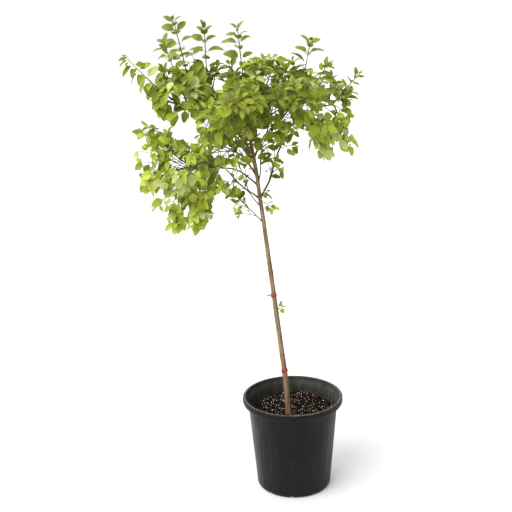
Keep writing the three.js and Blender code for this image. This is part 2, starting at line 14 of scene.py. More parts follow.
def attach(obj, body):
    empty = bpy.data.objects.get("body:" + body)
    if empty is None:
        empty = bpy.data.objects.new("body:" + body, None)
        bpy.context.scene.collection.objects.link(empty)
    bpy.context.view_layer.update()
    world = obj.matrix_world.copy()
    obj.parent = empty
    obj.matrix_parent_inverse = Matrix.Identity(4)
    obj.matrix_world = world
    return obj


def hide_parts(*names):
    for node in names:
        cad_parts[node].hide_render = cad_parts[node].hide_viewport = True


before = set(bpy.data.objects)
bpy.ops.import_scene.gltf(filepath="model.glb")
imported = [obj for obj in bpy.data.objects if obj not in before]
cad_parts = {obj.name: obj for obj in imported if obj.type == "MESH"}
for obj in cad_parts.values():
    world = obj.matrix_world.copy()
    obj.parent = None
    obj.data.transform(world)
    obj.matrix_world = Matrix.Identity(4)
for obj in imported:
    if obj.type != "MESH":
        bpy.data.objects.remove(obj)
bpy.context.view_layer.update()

MM = 0.001
BODY = "root"
UP = np.array([0.0, 0.0, 1.0])
RIGHT = np.array([1.0, 0.0, 0.0])
FULL_TURN = 360


def rows_of(text):
    """The rows of a table, with its numbers as numbers."""
    return [[word if word[0].isalpha() else float(word) for word in line.split()]
            for line in text.strip().splitlines()]


# Camera and studio, in metres and degrees
IMAGE_SIDE = 512
CAMERA = {"place": (-0.0984, -2.40, 1.36), "pitch": 14.96, "roll": -1.6, "focal_px": 862,
          "sensor": 36}
KEY = {"from": (-0.62, -0.5, 0.9), "strength": 2.3, "spread": 50}
SURROUND = {"front": 0.3, "back": 1.05, "front_edge": -0.3, "back_edge": 0.6, "above": 0.6,
            "left": 1.15, "right": 0.6, "side_edge": 0.9}
FLOOR = {"radius": 40.0, "sides": 96, "drop": 0.0004}

# Pot and soil
POT = {
    "height": 283, "lip": 150, "rim": 141.5, "neck": 134, "neck_height": 262, "base": 112,
    "base_round": 9, "lip_foot": 8, "wall": 3, "floor": 4, "segments": 120, "pole": 1, "flat": 60,
    "bands": (60, 105, 150, 195), "inner_bands": (195, 150), "low_bands": (40, 14),
}
# Points of its section, across and up: under the lip from the neck, inside the lip from the top of
# the rim, and inside the neck
UNDER_LIP = [(-0.4, -4), (0.8, -1), (5, 0.4)]
INSIDE_RIM = [(-0.6, -6), (-2.6, -11), (-5.4, -16)]
INSIDE_NECK = [(2.4, 0), (0.6, -6)]
PANEL = {"count": 20, "low": 24, "high": 246, "edge": 2.4, "depth": 0.5, "inner_low": 90}
NOTCH = {"count": 10, "width": 13, "height": 8, "depth": 40, "beyond": 4, "first": -133, "round": 2}
SOIL = {"level": 229, "clearance": 0.6, "segments": 96, "ring": 3.5, "heap": 12, "heap_from": -20,
        "heap_over": 130, "fall": 13, "reach": 128, "below": 14}
# Lumps of its surface: height, size and place in the noise
LUMPS = [(2.6, 17, 3), (1.3, 6.5, 9)]
CRUMBS = {"reach": 124, "clear": 11, "rough": 0.22, "tip": 0.7}
CHIPS = {"count": 2800, "sizes": ((1.6, 6), (1.2, 3.2), (1, 2)), "sink": 0.2}
GRAINS = {"count": 430, "sizes": ((1.8, 3.8), (1.6, 3.2), (1.6, 2.8)), "sink": 0.25}

# Trunk and boughs
TRUNK = {
    "foot": 8.4, "top": 4.3, "flare": 2.8, "flare_height": 14, "sides": 40, "ring": 5,
    "route": [
        (-12, -14, 224), (-13, -14, 238), (-22, -10, 356), (-34, -7, 460), (-48, -4, 586),
        (-63, -2, 720), (-75, 0, 828), (-84, 0, 901), (-89, 0, 950), (-97, 0, 1001), (-105, 0, 1058),
        (-107, 0, 1113), (-116, 0, 1174),
    ],
}
BOUGH = {"sides": 14, "ring": 4, "collar": 0.6, "collar_length": 6}
RIDGE = {"trunk": 0.42, "bough": 0.14, "around": 2.6, "along": 70, "fine": 0.4}
KNOT = {"count": 13, "first": 0.06, "step": 0.068, "turn": 137.5, "height": 0.9, "size": 4.5,
        "taller": 1.6, "wider": 1.4}
# Ties: name, share of the trunk's length, length of the loose tail
TIES = [("upper_tie", 0.398, 12), ("lower_tie", 0.152, 0)]
TAPE = {"clear": 0.9, "half": 0.9, "flat": 3.2, "second": (1.06, 1.04, 0.9), "drop": 4.8, "tilt": 9,
        "ripple": 0.5, "ripple_size": 6, "tail_steps": 4}

# Each bough: name, parent, share of the parent's length, radii at foot and tip, points of its route
BOUGHS = rows_of("""
low_left_bough trunk 0.622 1.7 1.3 -108 -8 854 -122 -12 869
thin_left_bough trunk 0.67 1.6 1.2 -110 8 900 -123 14 937 -136 20 971
left_bough trunk 0.697 2.4 1.5 -137 -25 933 -174 -50 980 -208 -70 1009
arching_left_bough trunk 0.738 2.3 1.5 -145 5 969 -190 12 975 -253 20 974 -288 25 970
right_bough trunk 0.697 3 2 -52 5 942 -40 8 984 -22 12 1029 5 18 1078 25 22 1113
outer_right_bough right_bough 0.9 2.2 1.8 63 30 1126 105 35 1138 130 38 1140
inner_right_bough trunk 0.745 2 1.4 -80 -12 960 -78 -20 1005 -70 -32 1047 -58 -42 1064
upper_left_bough trunk 0.835 3 2.2 -114 -10 1037 -141 -25 1076 -189 -40 1120 -247 -50 1149 -295 -55 1162
rising_left_bough trunk 0.875 2.6 2 -140 12 1085 -190 18 1128 -231 18 1149 -258 15 1168
upright_left_bough trunk 0.905 2.4 1.9 -149 25 1118 -196 45 1153 -221 55 1185
front_bough trunk 0.86 2.8 2 -110 -50 1075 -114 -95 1112
front_left_bough trunk 0.815 2.8 2 -130 -45 1040 -165 -95 1072
front_right_bough trunk 0.89 2.6 2 -80 -50 1110 -50 -85 1128
back_bough trunk 0.845 2.8 2 -105 55 1060 -106 110 1095
back_left_bough trunk 0.8 2.8 2 -140 60 1050 -190 105 1095
low_back_bough trunk 0.765 2.8 2 -130 60 1000 -180 120 1020
back_right_bough trunk 0.82 2.8 2 -60 55 1060 -15 105 1095
""")

# Each mass: name, limb, share of the limb's length, stem's tip, girth at foot and tip, how far the
# stem bows up, lift of its twigs, manner of growth, palette
MASSES = rows_of("""
leader_shoot trunk 1 -132 -5 1364 74 42 0 1 shoot upper
far_left_shoot upper_left_bough 1 -428 -70 1292 66 42 -16 0.3 leaning upper
second_left_shoot upper_left_bough 0.9 -332 -30 1333 56 38 -6 0.8 shoot upper
tallest_shoot rising_left_bough 1 -306 10 1392 66 44 0 1 shoot upper
upright_left_shoot upright_left_bough 1 -224 60 1366 66 42 0 1 shoot upper
upper_front_spray front_right_bough 0.72 -84 -92 1256 62 50 0 0.8 crown upper
upper_back_spray trunk 0.93 -24 80 1262 66 52 0 0.8 crown upper
upper_right_shoot right_bough 1 68 15 1326 74 42 0 1 shoot upper
right_front_shoot right_bough 0.96 109 -46 1258 66 46 8 0.6 shoot upper
far_right_shoot outer_right_bough 0.97 206 30 1230 60 42 0 0.4 slim upper
right_hanging_spray outer_right_bough 0.6 108 -8 1020 56 46 6 -1 broad bright
far_right_hanging_spray outer_right_bough 1 172 44 1022 50 44 24 -1 broad bright
front_crown front_bough 1 -130 -215 1190 70 66 0 0.2 crown front
front_left_crown front_left_bough 1 -212 -190 1128 66 66 8 0 crown middle
front_right_crown front_right_bough 1 40 -180 1180 70 66 10 0.2 crown shaded
inner_right_crown inner_right_bough 1 10 -90 1160 58 56 0 0.3 crown shaded
inner_left_crown front_left_bough 0.55 -186 -118 1022 48 48 14 -0.6 crown middle
back_crown back_bough 1 -112 235 1175 78 72 8 0.2 crown middle
back_left_crown back_left_bough 1 -285 190 1212 70 66 8 0.4 crown middle
back_right_crown back_right_bough 1 75 180 1185 76 70 8 0.2 crown middle
middle_left_crown trunk 0.95 -225 -15 1180 56 54 0 0.4 crown middle
under_left_crown upper_left_bough 0.42 -216 -72 1052 48 48 20 -0.4 crown middle
low_front_crown front_bough 0.62 -150 -118 1058 46 46 16 -0.4 crown middle
under_shoot_spray upper_left_bough 0.75 -325 -85 1140 42 46 12 -0.6 large middle
left_rising_spray arching_left_bough 0.88 -392 8 1102 62 56 -30 0 crown sunny
far_left_hanging_spray arching_left_bough 1 -416 42 928 60 62 34 -0.7 hanging sunny
low_left_hanging_spray arching_left_bough 0.8 -338 -12 820 62 54 20 -1 hanging sunny
low_middle_hanging_spray left_bough 0.86 -256 -62 824 54 52 20 -1 hanging sunny
front_hanging_spray left_bough 1 -330 -125 945 60 60 36 -0.7 hanging sunny
back_hanging_spray low_back_bough 1 -310 150 918 68 70 30 -0.7 hanging sunny
left_band_spray left_bough 0.74 -282 -30 1048 46 44 0 0 crown sunny
low_left_spray low_left_bough 1 -176 -28 932 40 36 0 -0.4 crown sunny
inner_left_spray thin_left_bough 1 -158 35 1022 40 36 0 0 crown middle
inner_right_spray right_bough 0.42 -60 -30 1020 32 32 -16 -0.4 crown middle
under_right_spray right_bough 0.72 30 -16 1044 30 30 14 -0.8 hanging middle
fork_spray trunk 0.69 -50 -10 862 24 24 6 -0.6 fine middle
trunk_shoot trunk 0.35 -30 -6 562 22 22 0 0.6 fine middle
""")

# Small leafy twigs on the limbs between the masses, in the same form, each counted to the mass
# that it grows beside
SPRIGS = rows_of("""
low_left_spray low_left_bough 0.42 -147 -27 850 30 24 4 -0.8 fine sunny
low_left_spray low_left_bough 0.8 -150 -30 880 26 24 4 -0.4 sprig sunny
low_left_spray low_left_bough 0.9 -148 -26 945 30 26 0 0.4 sprig sunny
inner_left_spray thin_left_bough 0.6 -124 -10 992 32 28 0 0.4 sprig sunny
inner_right_spray right_bough 0.3 -60 -4 1000 26 24 0 0.4 sprig middle
inner_right_spray right_bough 0.32 -20 0 966 26 26 10 -0.6 sprig sunny
under_right_spray right_bough 0.6 14 4 1034 32 28 4 -0.2 sprig middle
inner_right_spray inner_right_bough 0.4 -70 -24 1032 30 28 0 0.4 sprig middle
inner_right_spray inner_right_bough 0.75 -30 -34 1062 36 32 0 0.2 sprig middle
far_left_hanging_spray arching_left_bough 0.97 -424 18 1030 34 34 16 -0.4 sprig sunny
right_hanging_spray outer_right_bough 0.8 150 0 1096 34 32 0 -0.3 sprig sunny
left_rising_spray arching_left_bough 0.93 -394 24 1046 36 34 6 0.2 sprig sunny
left_rising_spray arching_left_bough 0.85 -358 34 1006 34 32 0 0.2 sprig sunny
low_front_crown front_bough 0.3 -88 -40 1062 34 34 0 0 sprig middle
low_front_crown front_left_bough 0.3 -112 -58 1078 36 34 0 0 sprig middle
under_right_spray right_bough 0.78 38 8 1092 34 30 0 0 sprig middle
far_right_shoot outer_right_bough 0.8 134 18 1190 38 36 0 0.4 sprig middle
right_front_shoot outer_right_bough 0.5 98 12 1212 38 34 0 0.4 sprig upper
low_left_spray left_bough 0.3 -158 -34 918 30 28 0 -0.2 sprig sunny
low_left_spray left_bough 0.45 -180 -34 944 30 28 0 -0.2 sprig sunny
low_left_spray left_bough 0.62 -141 -22 1007 34 30 0 0.2 sprig middle
low_left_spray thin_left_bough 0.4 -154 -16 951 32 30 0 0 sprig sunny
second_left_shoot upper_left_bough 0.98 -334 -34 1260 46 42 0 0.3 shoot upper
far_left_shoot upper_left_bough 0.9 -332 -52 1208 46 42 0 0.3 shoot upper
far_right_shoot outer_right_bough 0.97 170 30 1174 44 44 6 -0.6 large even
far_right_shoot outer_right_bough 0.9 146 4 1166 38 36 0 0.2 sprig upper
right_hanging_spray outer_right_bough 0.55 99 14 1112 34 32 0 0 sprig sunny
inner_right_spray right_bough 0.62 -12 14 1058 32 30 0 0 sprig middle
fork_spray trunk 0.705 -66 -14 906 24 22 0 0.2 fine middle
upright_left_shoot upright_left_bough 1 -262 44 1292 36 34 0 0.4 sprig upper
upright_left_shoot upright_left_bough 0.9 -190 30 1262 42 38 0 0.6 shoot upper
far_left_shoot upper_left_bough 1 -366 -64 1180 40 36 0 -0.4 leaning upper
right_front_shoot outer_right_bough 0.9 120 -14 1222 42 40 0 0.4 shoot upper
upper_back_spray right_bough 0.98 -2 24 1254 42 38 0 0.6 shoot upper
far_right_hanging_spray outer_right_bough 1 172 34 1110 36 34 4 0 sprig sunny
right_hanging_spray outer_right_bough 0.3 50 14 1086 34 32 4 -0.4 sprig middle
under_right_spray right_bough 0.45 -40 -6 1040 34 32 4 0 sprig middle
inner_right_spray right_bough 0.2 -42 -4 998 34 32 4 0 sprig middle
inner_right_spray right_bough 0.3 -26 4 974 32 30 6 -0.4 sprig sunny
low_left_spray left_bough 0.5 -160 -30 930 36 34 0 -0.4 sprig middle
low_left_spray low_left_bough 1 -174 -24 888 36 34 6 -0.6 sprig sunny
leader_shoot trunk 0.98 -160 -16 1270 46 42 0 0.4 shoot upper
leader_shoot trunk 0.97 -94 12 1264 44 42 0 0.4 shoot upper
upper_right_shoot right_bough 1 16 4 1268 46 42 0 0.4 shoot upper
far_left_hanging_spray arching_left_bough 1 -418 30 996 36 34 10 -0.4 sprig sunny
low_left_hanging_spray arching_left_bough 0.97 -370 10 870 38 36 16 -0.8 sprig sunny
back_crown back_bough 0.55 -110 84 1196 48 46 0 0.4 crown middle
back_crown back_bough 0.95 -96 168 1098 46 44 6 0 crown middle
back_left_crown back_left_bough 0.6 -216 92 1176 48 46 0 0.4 crown middle
back_left_crown back_left_bough 0.9 -232 150 1108 46 44 6 0 crown middle
back_hanging_spray low_back_bough 0.7 -222 118 1000 46 44 10 -0.4 crown sunny
back_hanging_spray low_back_bough 0.4 -168 86 1058 44 42 0 0.2 crown middle
back_right_crown back_right_bough 0.55 -28 76 1176 48 46 0 0.4 crown shaded
back_right_crown back_right_bough 0.95 22 124 1122 44 42 6 0 crown shaded
front_crown front_bough 0.7 -120 -84 1188 46 44 0 0.4 crown front
front_crown front_bough 0.95 -118 -160 1110 42 40 6 0 crown front
front_right_crown front_right_bough 0.7 -42 -72 1190 44 42 0 0.4 crown shaded
front_left_crown front_left_bough 0.7 -156 -90 1154 46 44 0 0.4 crown middle
front_hanging_spray left_bough 0.95 -244 -104 992 42 40 10 -0.4 crown sunny
""")

# Openings where the sky shows through the crown, as the camera sees them, in pixels of the image:
# across and down to the centre, then half the width and half the height
SKY = [
    (189, 131, 7.5, 9.5), (179, 134, 6, 4.5), (161, 124, 5, 4), (153, 117, 5, 4), (146, 157, 5, 4),
    (143, 141, 3, 3), (178, 164, 8, 5), (193, 170, 5, 2.5), (207, 124, 3.5, 3.5), (215, 153, 3, 4),
    (226, 152, 4.5, 5), (227, 176, 4.5, 5), (173, 201, 2, 3), (186, 211, 3, 3), (139, 206, 9, 11),
    (218, 205, 5, 10), (160, 222, 7, 11), (172, 64, 3, 2.5), (216, 86, 4, 3), (168, 98, 5, 2.5),
    (182, 98, 3, 2.5), (141, 106, 6, 8), (258, 42, 6, 12), (268, 80, 3.5, 5), (275, 49, 13, 5),
    (316, 66, 2, 7), (345, 70, 4, 6), (306, 107, 4, 3), (274, 111, 4, 4), (287, 117, 4, 5),
    (303, 144, 4, 14), (336, 105, 4, 2.5), (337, 150, 2.5, 7), (353, 129, 5, 6), (268, 182, 5, 8),
    (134, 180, 6, 9), (291, 172, 6, 6), (247, 219, 6, 5), (228, 207, 4, 8), (358, 134, 4, 8),
    (130, 147, 6, 5), (213, 228, 7, 7),
]

# Growth of the stems, twigs and leaves. Lengths and radii are in millimetres, angles in degrees.
SPACE = {"fullness": 3, "between": -12, "extra": -200, "overhang": 26, "limb_gap": 1.6, "limb_step": 6}
STEM = {"foot": 2.3, "tip": 1.0, "sides": 7, "ring": 9, "thick": (2.8, 2.3),
        "ages": (0.15, 0.9), "highlight_ages": (-0.3, 2.2)}
TWIG = {
    "room": (54, 46), "radii": ((1.25, 0.75), (0.85, 0.6)), "sides": (5, 4), "shortest": 16,
    "leaf_room": 24, "lengths": (0.8, 1.0), "spread": 56, "bend": 0.35, "bow": 0.12,
    "end_gap": 0.6, "step": 6, "fineness": 9, "age": 0.35, "ageing": 0.35, "finer_ageing": 0.2,
}
NODE = {"turn": 90, "bare": 20, "last": 0.96, "jitter": 14}
LEAF = {
    "sizes": (0.7, 1.12), "sway": 0.2, "twist": (0.75, 0.45), "stalk": 6, "stalk_radius": 0.5,
    "shrink": 0.82, "most": 12000, "heart": 0.42, "fold": (8, 26), "wave": 0.09, "rib": 0.4,
    "keel": 0.5, "spread": 60, "narrow": 0.72, "waves": (1.5, 1.3),
    "tests": [(0.1, 0), (0.42, 0), (0.42, 1), (0.42, -1), (0.2, 0.7), (0.2, -0.7), (0.7, 0.6),
              (0.7, -0.6), (0.72, 0), (1.0, 0)],
}
# How leaves stand in each manner of growth: node spacing, leaf length, width as a share of it,
# droop, range of the curl towards the tip in radians, where along the stem twigs may start, how
# far twigs reach at most, how far apart the middles of two leaves stay, how far leaves may hang
# out of the mass's space, and the least share of its length that a leaf may shrink to
TRAITS = ("spacing", "length", "width", "droop", "curl", "twigs_to", "reach", "apart", "slack", "least")
MANNERS = {
    "shoot": (21, 45, 0.59, 0.05, (0.4, 1.0), 0.15, 56, 11, 12, 0.6),
    "slim": (17, 35, 0.6, 0.0, (0.4, 0.9), 0.3, 60, 9, 8, 0.6),
    "leaning": (15, 50, 0.6, 0.8, (0.4, 0.9), 0.25, 60, 10, 16, 0.6),
    "crown": (25, 36, 0.6, 0.22, (0.4, 1.0), 1.0, 190, 13, 2, 0.45),
    "hanging": (25, 34, 0.76, 0.5, (0.2, 0.7), 1.0, 190, 14, 1, 0.42),
    "broad": (25, 39, 0.7, 0.6, (0.3, 0.8), 0.7, 190, 16, 3, 0.5),
    "large": (22, 47, 0.66, 0.8, (0.3, 0.7), 0.4, 190, 18, 8, 0.6),
    "fine": (16, 25, 0.66, 0.2, (0.3, 0.8), 0.0, 60, 9, 8, 0.5),
    "sprig": (20, 36, 0.66, 0.3, (0.3, 0.8), 1.0, 190, 12, 9, 0.6),
}
# The smaller upright leaves at a stem's end: distance from the end, size and spread of each pair
ROSETTE = [(42, 0.9, 58), (30, 0.78, 52), (20, 0.66, 44), (13, 0.54, 34), (8, 0.44, 18)]
TUFT = [(8, 0.75, 46), (3, 0.55, 24)]
# A leaf's outline: widths, as shares of the widest, at shares of its length, with coarse teeth
OUTLINE = np.array([
    (0.1, 0.5), (0.22, 0.86), (0.34, 1.0), (0.38, 0.93), (0.5, 0.96), (0.54, 0.86), (0.67, 0.8),
    (0.71, 0.68), (0.83, 0.54), (0.87, 0.42),
])
STATIONS, WIDTHS = OUTLINE.T
# Which way leaves face, on spreading masses and on upright ones
LIGHT = (np.array([-0.1, -0.6, 0.78]), np.array([-0.1, -0.55, 0.82]))
UPRIGHT = 0.9
SEED = {"first": 101, "step": 37, "crumbs": 4391}
RANDOM = {"factor": 16807, "modulus": 2147483647}

# Leaf colours as red, green and blue from 0 to 255, and the palettes that sprays draw from
SHADES = {
    "lime": (187, 199, 70), "fresh": (168, 182, 56), "mid": (153, 165, 50), "deep": (133, 146, 30),
    "olive": (150, 152, 64), "pale": (196, 206, 124), "dark": (116, 130, 16),
}
# The sunny palette and the brightly lit one paint light as paler, yellower leaves where light falls on
# and through them, and the shaded palette paints shade as darker leaves in the dense right of the crown.
PALETTES = {
    "upper": ("mid", "fresh", "mid", "deep", "fresh", "mid", "pale", "mid"),
    "middle": ("mid", "dark", "fresh", "mid", "olive", "fresh", "deep", "lime"),
    "shaded": ("deep", "mid", "dark", "fresh", "dark"),
    "sunny": ("lime", "fresh", "mid", "lime", "fresh", "pale", "deep", "lime"),
    "bright": ("lime", "pale", "fresh", "lime"),
    "front": ("mid", "dark", "mid", "fresh", "deep", "olive"),
    "even": ("fresh",),
}
ROSETTE_SHADES = ("deep", "mid")
# Colours of the pot, from 0 to 255, with painted highlights on its left side and rim and painted light,
# partly dust, on its inner wall, and heights in metres where these, its dust and its inside change
PLASTIC = {"plain": (14, 16, 15), "dark": (7, 8, 7), "light": (14, 15, 13), "scuff": (46, 48, 46),
           "lit_flank": (88, 90, 87), "inside": (82, 83, 76), "dust": (24, 32, 32), "edge": (100, 102, 97)}
PAINTED_LIGHT_AND_DUST = {"lit_flank": (0.22, 0.258), "neck": (0.250, 0.262), "lip": (0.262, 0.268), "dust": (0.0, 0.16),
        "edge": (0.2816, 0.2828)}
# Bark colours: light, middle, dark, a warmer colour painted as light on the left side, and a darker olive
# painted as shade, partly mossy green, on the right
BARKS = {
    "trunk_bark": ((172, 148, 116), (132, 108, 76), (76, 60, 40), (158, 92, 62), (72, 66, 36)),
    "bough_bark": ((116, 106, 74), (84, 76, 48), (52, 46, 28), (98, 80, 50), (62, 62, 32)),
}
# Young stems: plain, brown foot, green, spots, and a pale tip colour that paints a highlight where the
# age passes 0.9, mostly along the leaning shoots' stems
YOUNG = ((120, 122, 62), (88, 78, 42), (122, 142, 58), (92, 96, 44), (222, 222, 184))
# Uneven finishes: plain, dark and light colour, roughness and gloss, broad and fine scale of the
# unevenness, its edges, strength and depth of the bump, and how rare light ones are among small things
UNEVEN = {
    "potting_mix": ((20, 13, 8), (6, 4, 2), (32, 20, 11), (0.95, 0.08), (70.0, 420.0), (0.38, 0.62),
                    (0.9, 0.003), None),
    "bark_chip": ((98, 78, 58), (5, 3, 2), (98, 78, 58), (0.9, 0.1), (260.0, 900.0), (0.3, 0.7),
                  (0.6, 0.0012), 4.0),
    "pale_grain": ((255, 250, 234), (206, 180, 146), (255, 250, 234), (0.9, 0.1), (260.0, 900.0),
                   (0.3, 0.7), (0.6, 0.0012), 0.6),
    "red_tape": ((190, 44, 42), (140, 26, 26), (188, 58, 50), (0.5, 0.5), (160.0, 900.0), (0.35, 0.65),
                 (0.4, 0.0006), None),
}

SKY_TABLE = np.array(SKY, float).T


def linear(red, green, blue):
    """A colour given from 0 to 255 as a shader takes it."""
    shares = [value / 255 for value in (red, green, blue)]
    return tuple(s / 12.92 if s < 0.04045 else ((s + 0.055) / 1.055) ** 2.4 for s in shares) + (1.0,)


def mix(start, end, share):
    return start + (end - start) * share


def unit(vector):
    return vector / np.linalg.norm(vector)


class Draw:
    """A repeatable run of numbers from 0 to 1."""

    def __init__(self, seed):
        self.state = seed

    def next(self):
        self.state = self.state * RANDOM["factor"] % RANDOM["modulus"]
        return self.state / RANDOM["modulus"]

    def between(self, low, high):
        return mix(low, high, self.next())

    def anywhere(self):
        """A point in the cube from -1 to 1 each way."""
        return np.array([self.between(-1, 1) for _ in range(3)])

    def one_of(self, things):
        return things[min(int(self.next() * len(things)), len(things) - 1)]


class Path:
    """A limb's centre line, read by share of its length."""

    def __init__(self, line):
        self.line = np.asarray(line, float)
        steps = np.linalg.norm(np.diff(self.line, axis=0), axis=1)
        self.reach = np.concatenate([[0.0], np.cumsum(steps)])
        self.length = self.reach[-1]

    def at(self, share):
        return np.stack([np.interp(np.asarray(share) * self.length, self.reach, self.line[:, k])
                         for k in range(3)], axis=-1)

    def along(self, share, step=0.01):
        return unit(self.at(min(share + step, 1)) - self.at(max(share - step, 0)))

    def rings(self, spacing):
        """Evenly spaced shares of the length, at least three of them."""
        return np.linspace(0, 1, max(round(self.length / spacing), 2) + 1)


def smooth_line(points, fineness=24):
    """A centripetal curve through points, as a fine line of points."""
    points = np.asarray(points, float)
    chain = np.vstack([2 * points[0] - points[1], points, 2 * points[-1] - points[-2]])
    share = np.linspace(0, 1, fineness, endpoint=False)[:, None]
    line = []
    for before, start, end, after in zip(chain, chain[1:], chain[2:], chain[3:]):
        first, second, third = (np.linalg.norm(b - a) ** 0.5
                                for a, b in ((before, start), (start, end), (end, after)))
        leave = ((start - before) / first - (end - before) / (first + second)
                 + (end - start) / second) * second
        arrive = ((end - start) / second - (after - start) / (second + third)
                  + (after - end) / third) * second
        line.append((2 * share**3 - 3 * share**2 + 1) * start + (share**3 - 2 * share**2 + share) * leave
                    + (3 * share**2 - 2 * share**3) * end + (share**3 - share**2) * arrive)
    return np.vstack(line + [points[-1:]])


def bowed_line(foot, tip, rise, fineness=16):
    """A line from foot to tip that bows upwards by half of rise."""
    middle = mix(foot, tip, 0.5) + UP * rise
    share = np.linspace(0, 1, fineness + 1)[:, None]
    return (1 - share)**2 * foot + 2 * share * (1 - share) * middle + share**2 * tip


def frames_along(line):
    """Two unit sides across each point of a line, which turn about it as little as they can."""
    tangents = np.gradient(line, axis=0)
    tangents /= np.linalg.norm(tangents, axis=1)[:, None]
    side = np.cross(UP if abs(tangents[0][2]) < UPRIGHT else RIGHT, tangents[0])
    sides = []
    for tangent in tangents:
        side = unit(side - tangent * side.dot(tangent))
        sides.append(side)
    sides = np.array(sides)
    return sides, np.cross(tangents, sides)


# Limbs: the trunk, the boughs and each mass's stem

class Limb:
    """A tapering limb from a foot on its parent's centre line, with a collar where it leaves it."""

    def __init__(self, name, path, radii, collar=0.0, collar_from=0.0, collar_length=1.0):
        self.name, self.path, self.radii = name, path, radii
        self.collar, self.collar_from, self.collar_length = collar, collar_from, collar_length

    def radius(self, share):
        beyond = np.maximum(np.asarray(share) * self.path.length - self.collar_from, 0)
        return (mix(self.radii[0], self.radii[1], np.asarray(share))
                + self.collar * np.exp(-beyond / self.collar_length))


def lay_out_limbs():
    limbs = {"trunk": Limb("trunk", Path(smooth_line(TRUNK["route"])), (TRUNK["foot"], TRUNK["top"]),
                           TRUNK["flare"], 0, TRUNK["flare_height"])}
    for name, parent, share, *numbers in BOUGHS:
        carrier = limbs[parent]
        radii, route = numbers[:2], np.reshape(numbers[2:], (-1, 3))
        limbs[name] = Limb(name, Path(smooth_line([carrier.path.at(share), *route])), radii,
                           BOUGH["collar"] * radii[0], carrier.radius(share), BOUGH["collar_length"])
    return limbs


class Mass:
    """One mass of foliage: its stem, its own space and how it grows."""

    def __init__(self, index, row, limbs):
        self.index = index
        self.name, limb, share, *numbers, manner, palette = row
        self.girth, (rise, self.lift) = numbers[3:5], numbers[5:]
        self.manner = dict(zip(TRAITS, MANNERS[manner]))
        self.palette = PALETTES[palette]
        self.upright = manner in ("shoot", "slim", "leaning")
        self.leaning = manner == "leaning"
        self.small = manner in ("sprig", "fine")
        foot, tip = limbs[limb].path.at(share), np.array(numbers[:3])
        girths = STEM["thick"] if self.leaning else (STEM["foot"], STEM["tip"])
        self.stem = Limb(self.name, Path(bowed_line(foot, tip, rise)), girths)
        self.axis = unit(tip - foot)
        self.half = np.linalg.norm(tip - foot) / 2 + SPACE["overhang"]
        self.centre = mix(foot, tip, 0.5) + UP * rise / 2 + self.axis * SPACE["overhang"] / 2
        own = index < len(MASSES) and not self.upright
        self.share_space = SPACE["between"] if own else SPACE["extra"]


class Spaces:
    """The long round spaces of all the masses, tested together."""

    def __init__(self, masses):
        self.centres = np.array([mass.centre for mass in masses])
        self.axes = np.array([mass.axis for mass in masses])
        self.halves = np.array([mass.half for mass in masses])
        self.girths = np.array([mass.girth for mass in masses], float)

    def outside(self, points):
        """How far each point is outside each space, or inside it as a negative number."""
        offsets = np.asarray(points)[:, None, :] - self.centres
        along = (offsets * self.axes).sum(-1)
        across = np.sqrt(np.maximum((offsets**2).sum(-1) - along**2, 0))
        share = np.clip((along / self.halves + 1) / 2, 0, 1)
        girth = mix(self.girths[:, 0], self.girths[:, 1], share)
        fullness = SPACE["fullness"]
        size = (np.abs(along / self.halves)**fullness + (across / girth)**fullness)**(1 / fullness)
        return (size - 1) * girth

    def holds(self, mass, points):
        """Whether each point is in a mass's own space, and nearer to it than to any other."""
        depth = self.outside(points)
        own = depth[:, mass.index].copy()
        depth[:, mass.index] = np.inf
        return (own <= mass.manner["slack"]) & (depth.min(1) > own + mass.share_space)


# Growth of the masses, by the same rule as the solids and carried to finer twigs

def blade_frame(leaf, share):
    """A point on a leaf's rib at a share of its length, and the way that is up there."""
    bend = leaf["curl"] * share
    forward = np.sin(bend) / leaf["curl"]
    fall = (1 - np.cos(bend)) / leaf["curl"]
    place = leaf["root"] + leaf["length"] * (leaf["direction"] * forward - leaf["normal"] * fall)
    return place, leaf["direction"] * np.sin(bend) + leaf["normal"] * np.cos(bend)


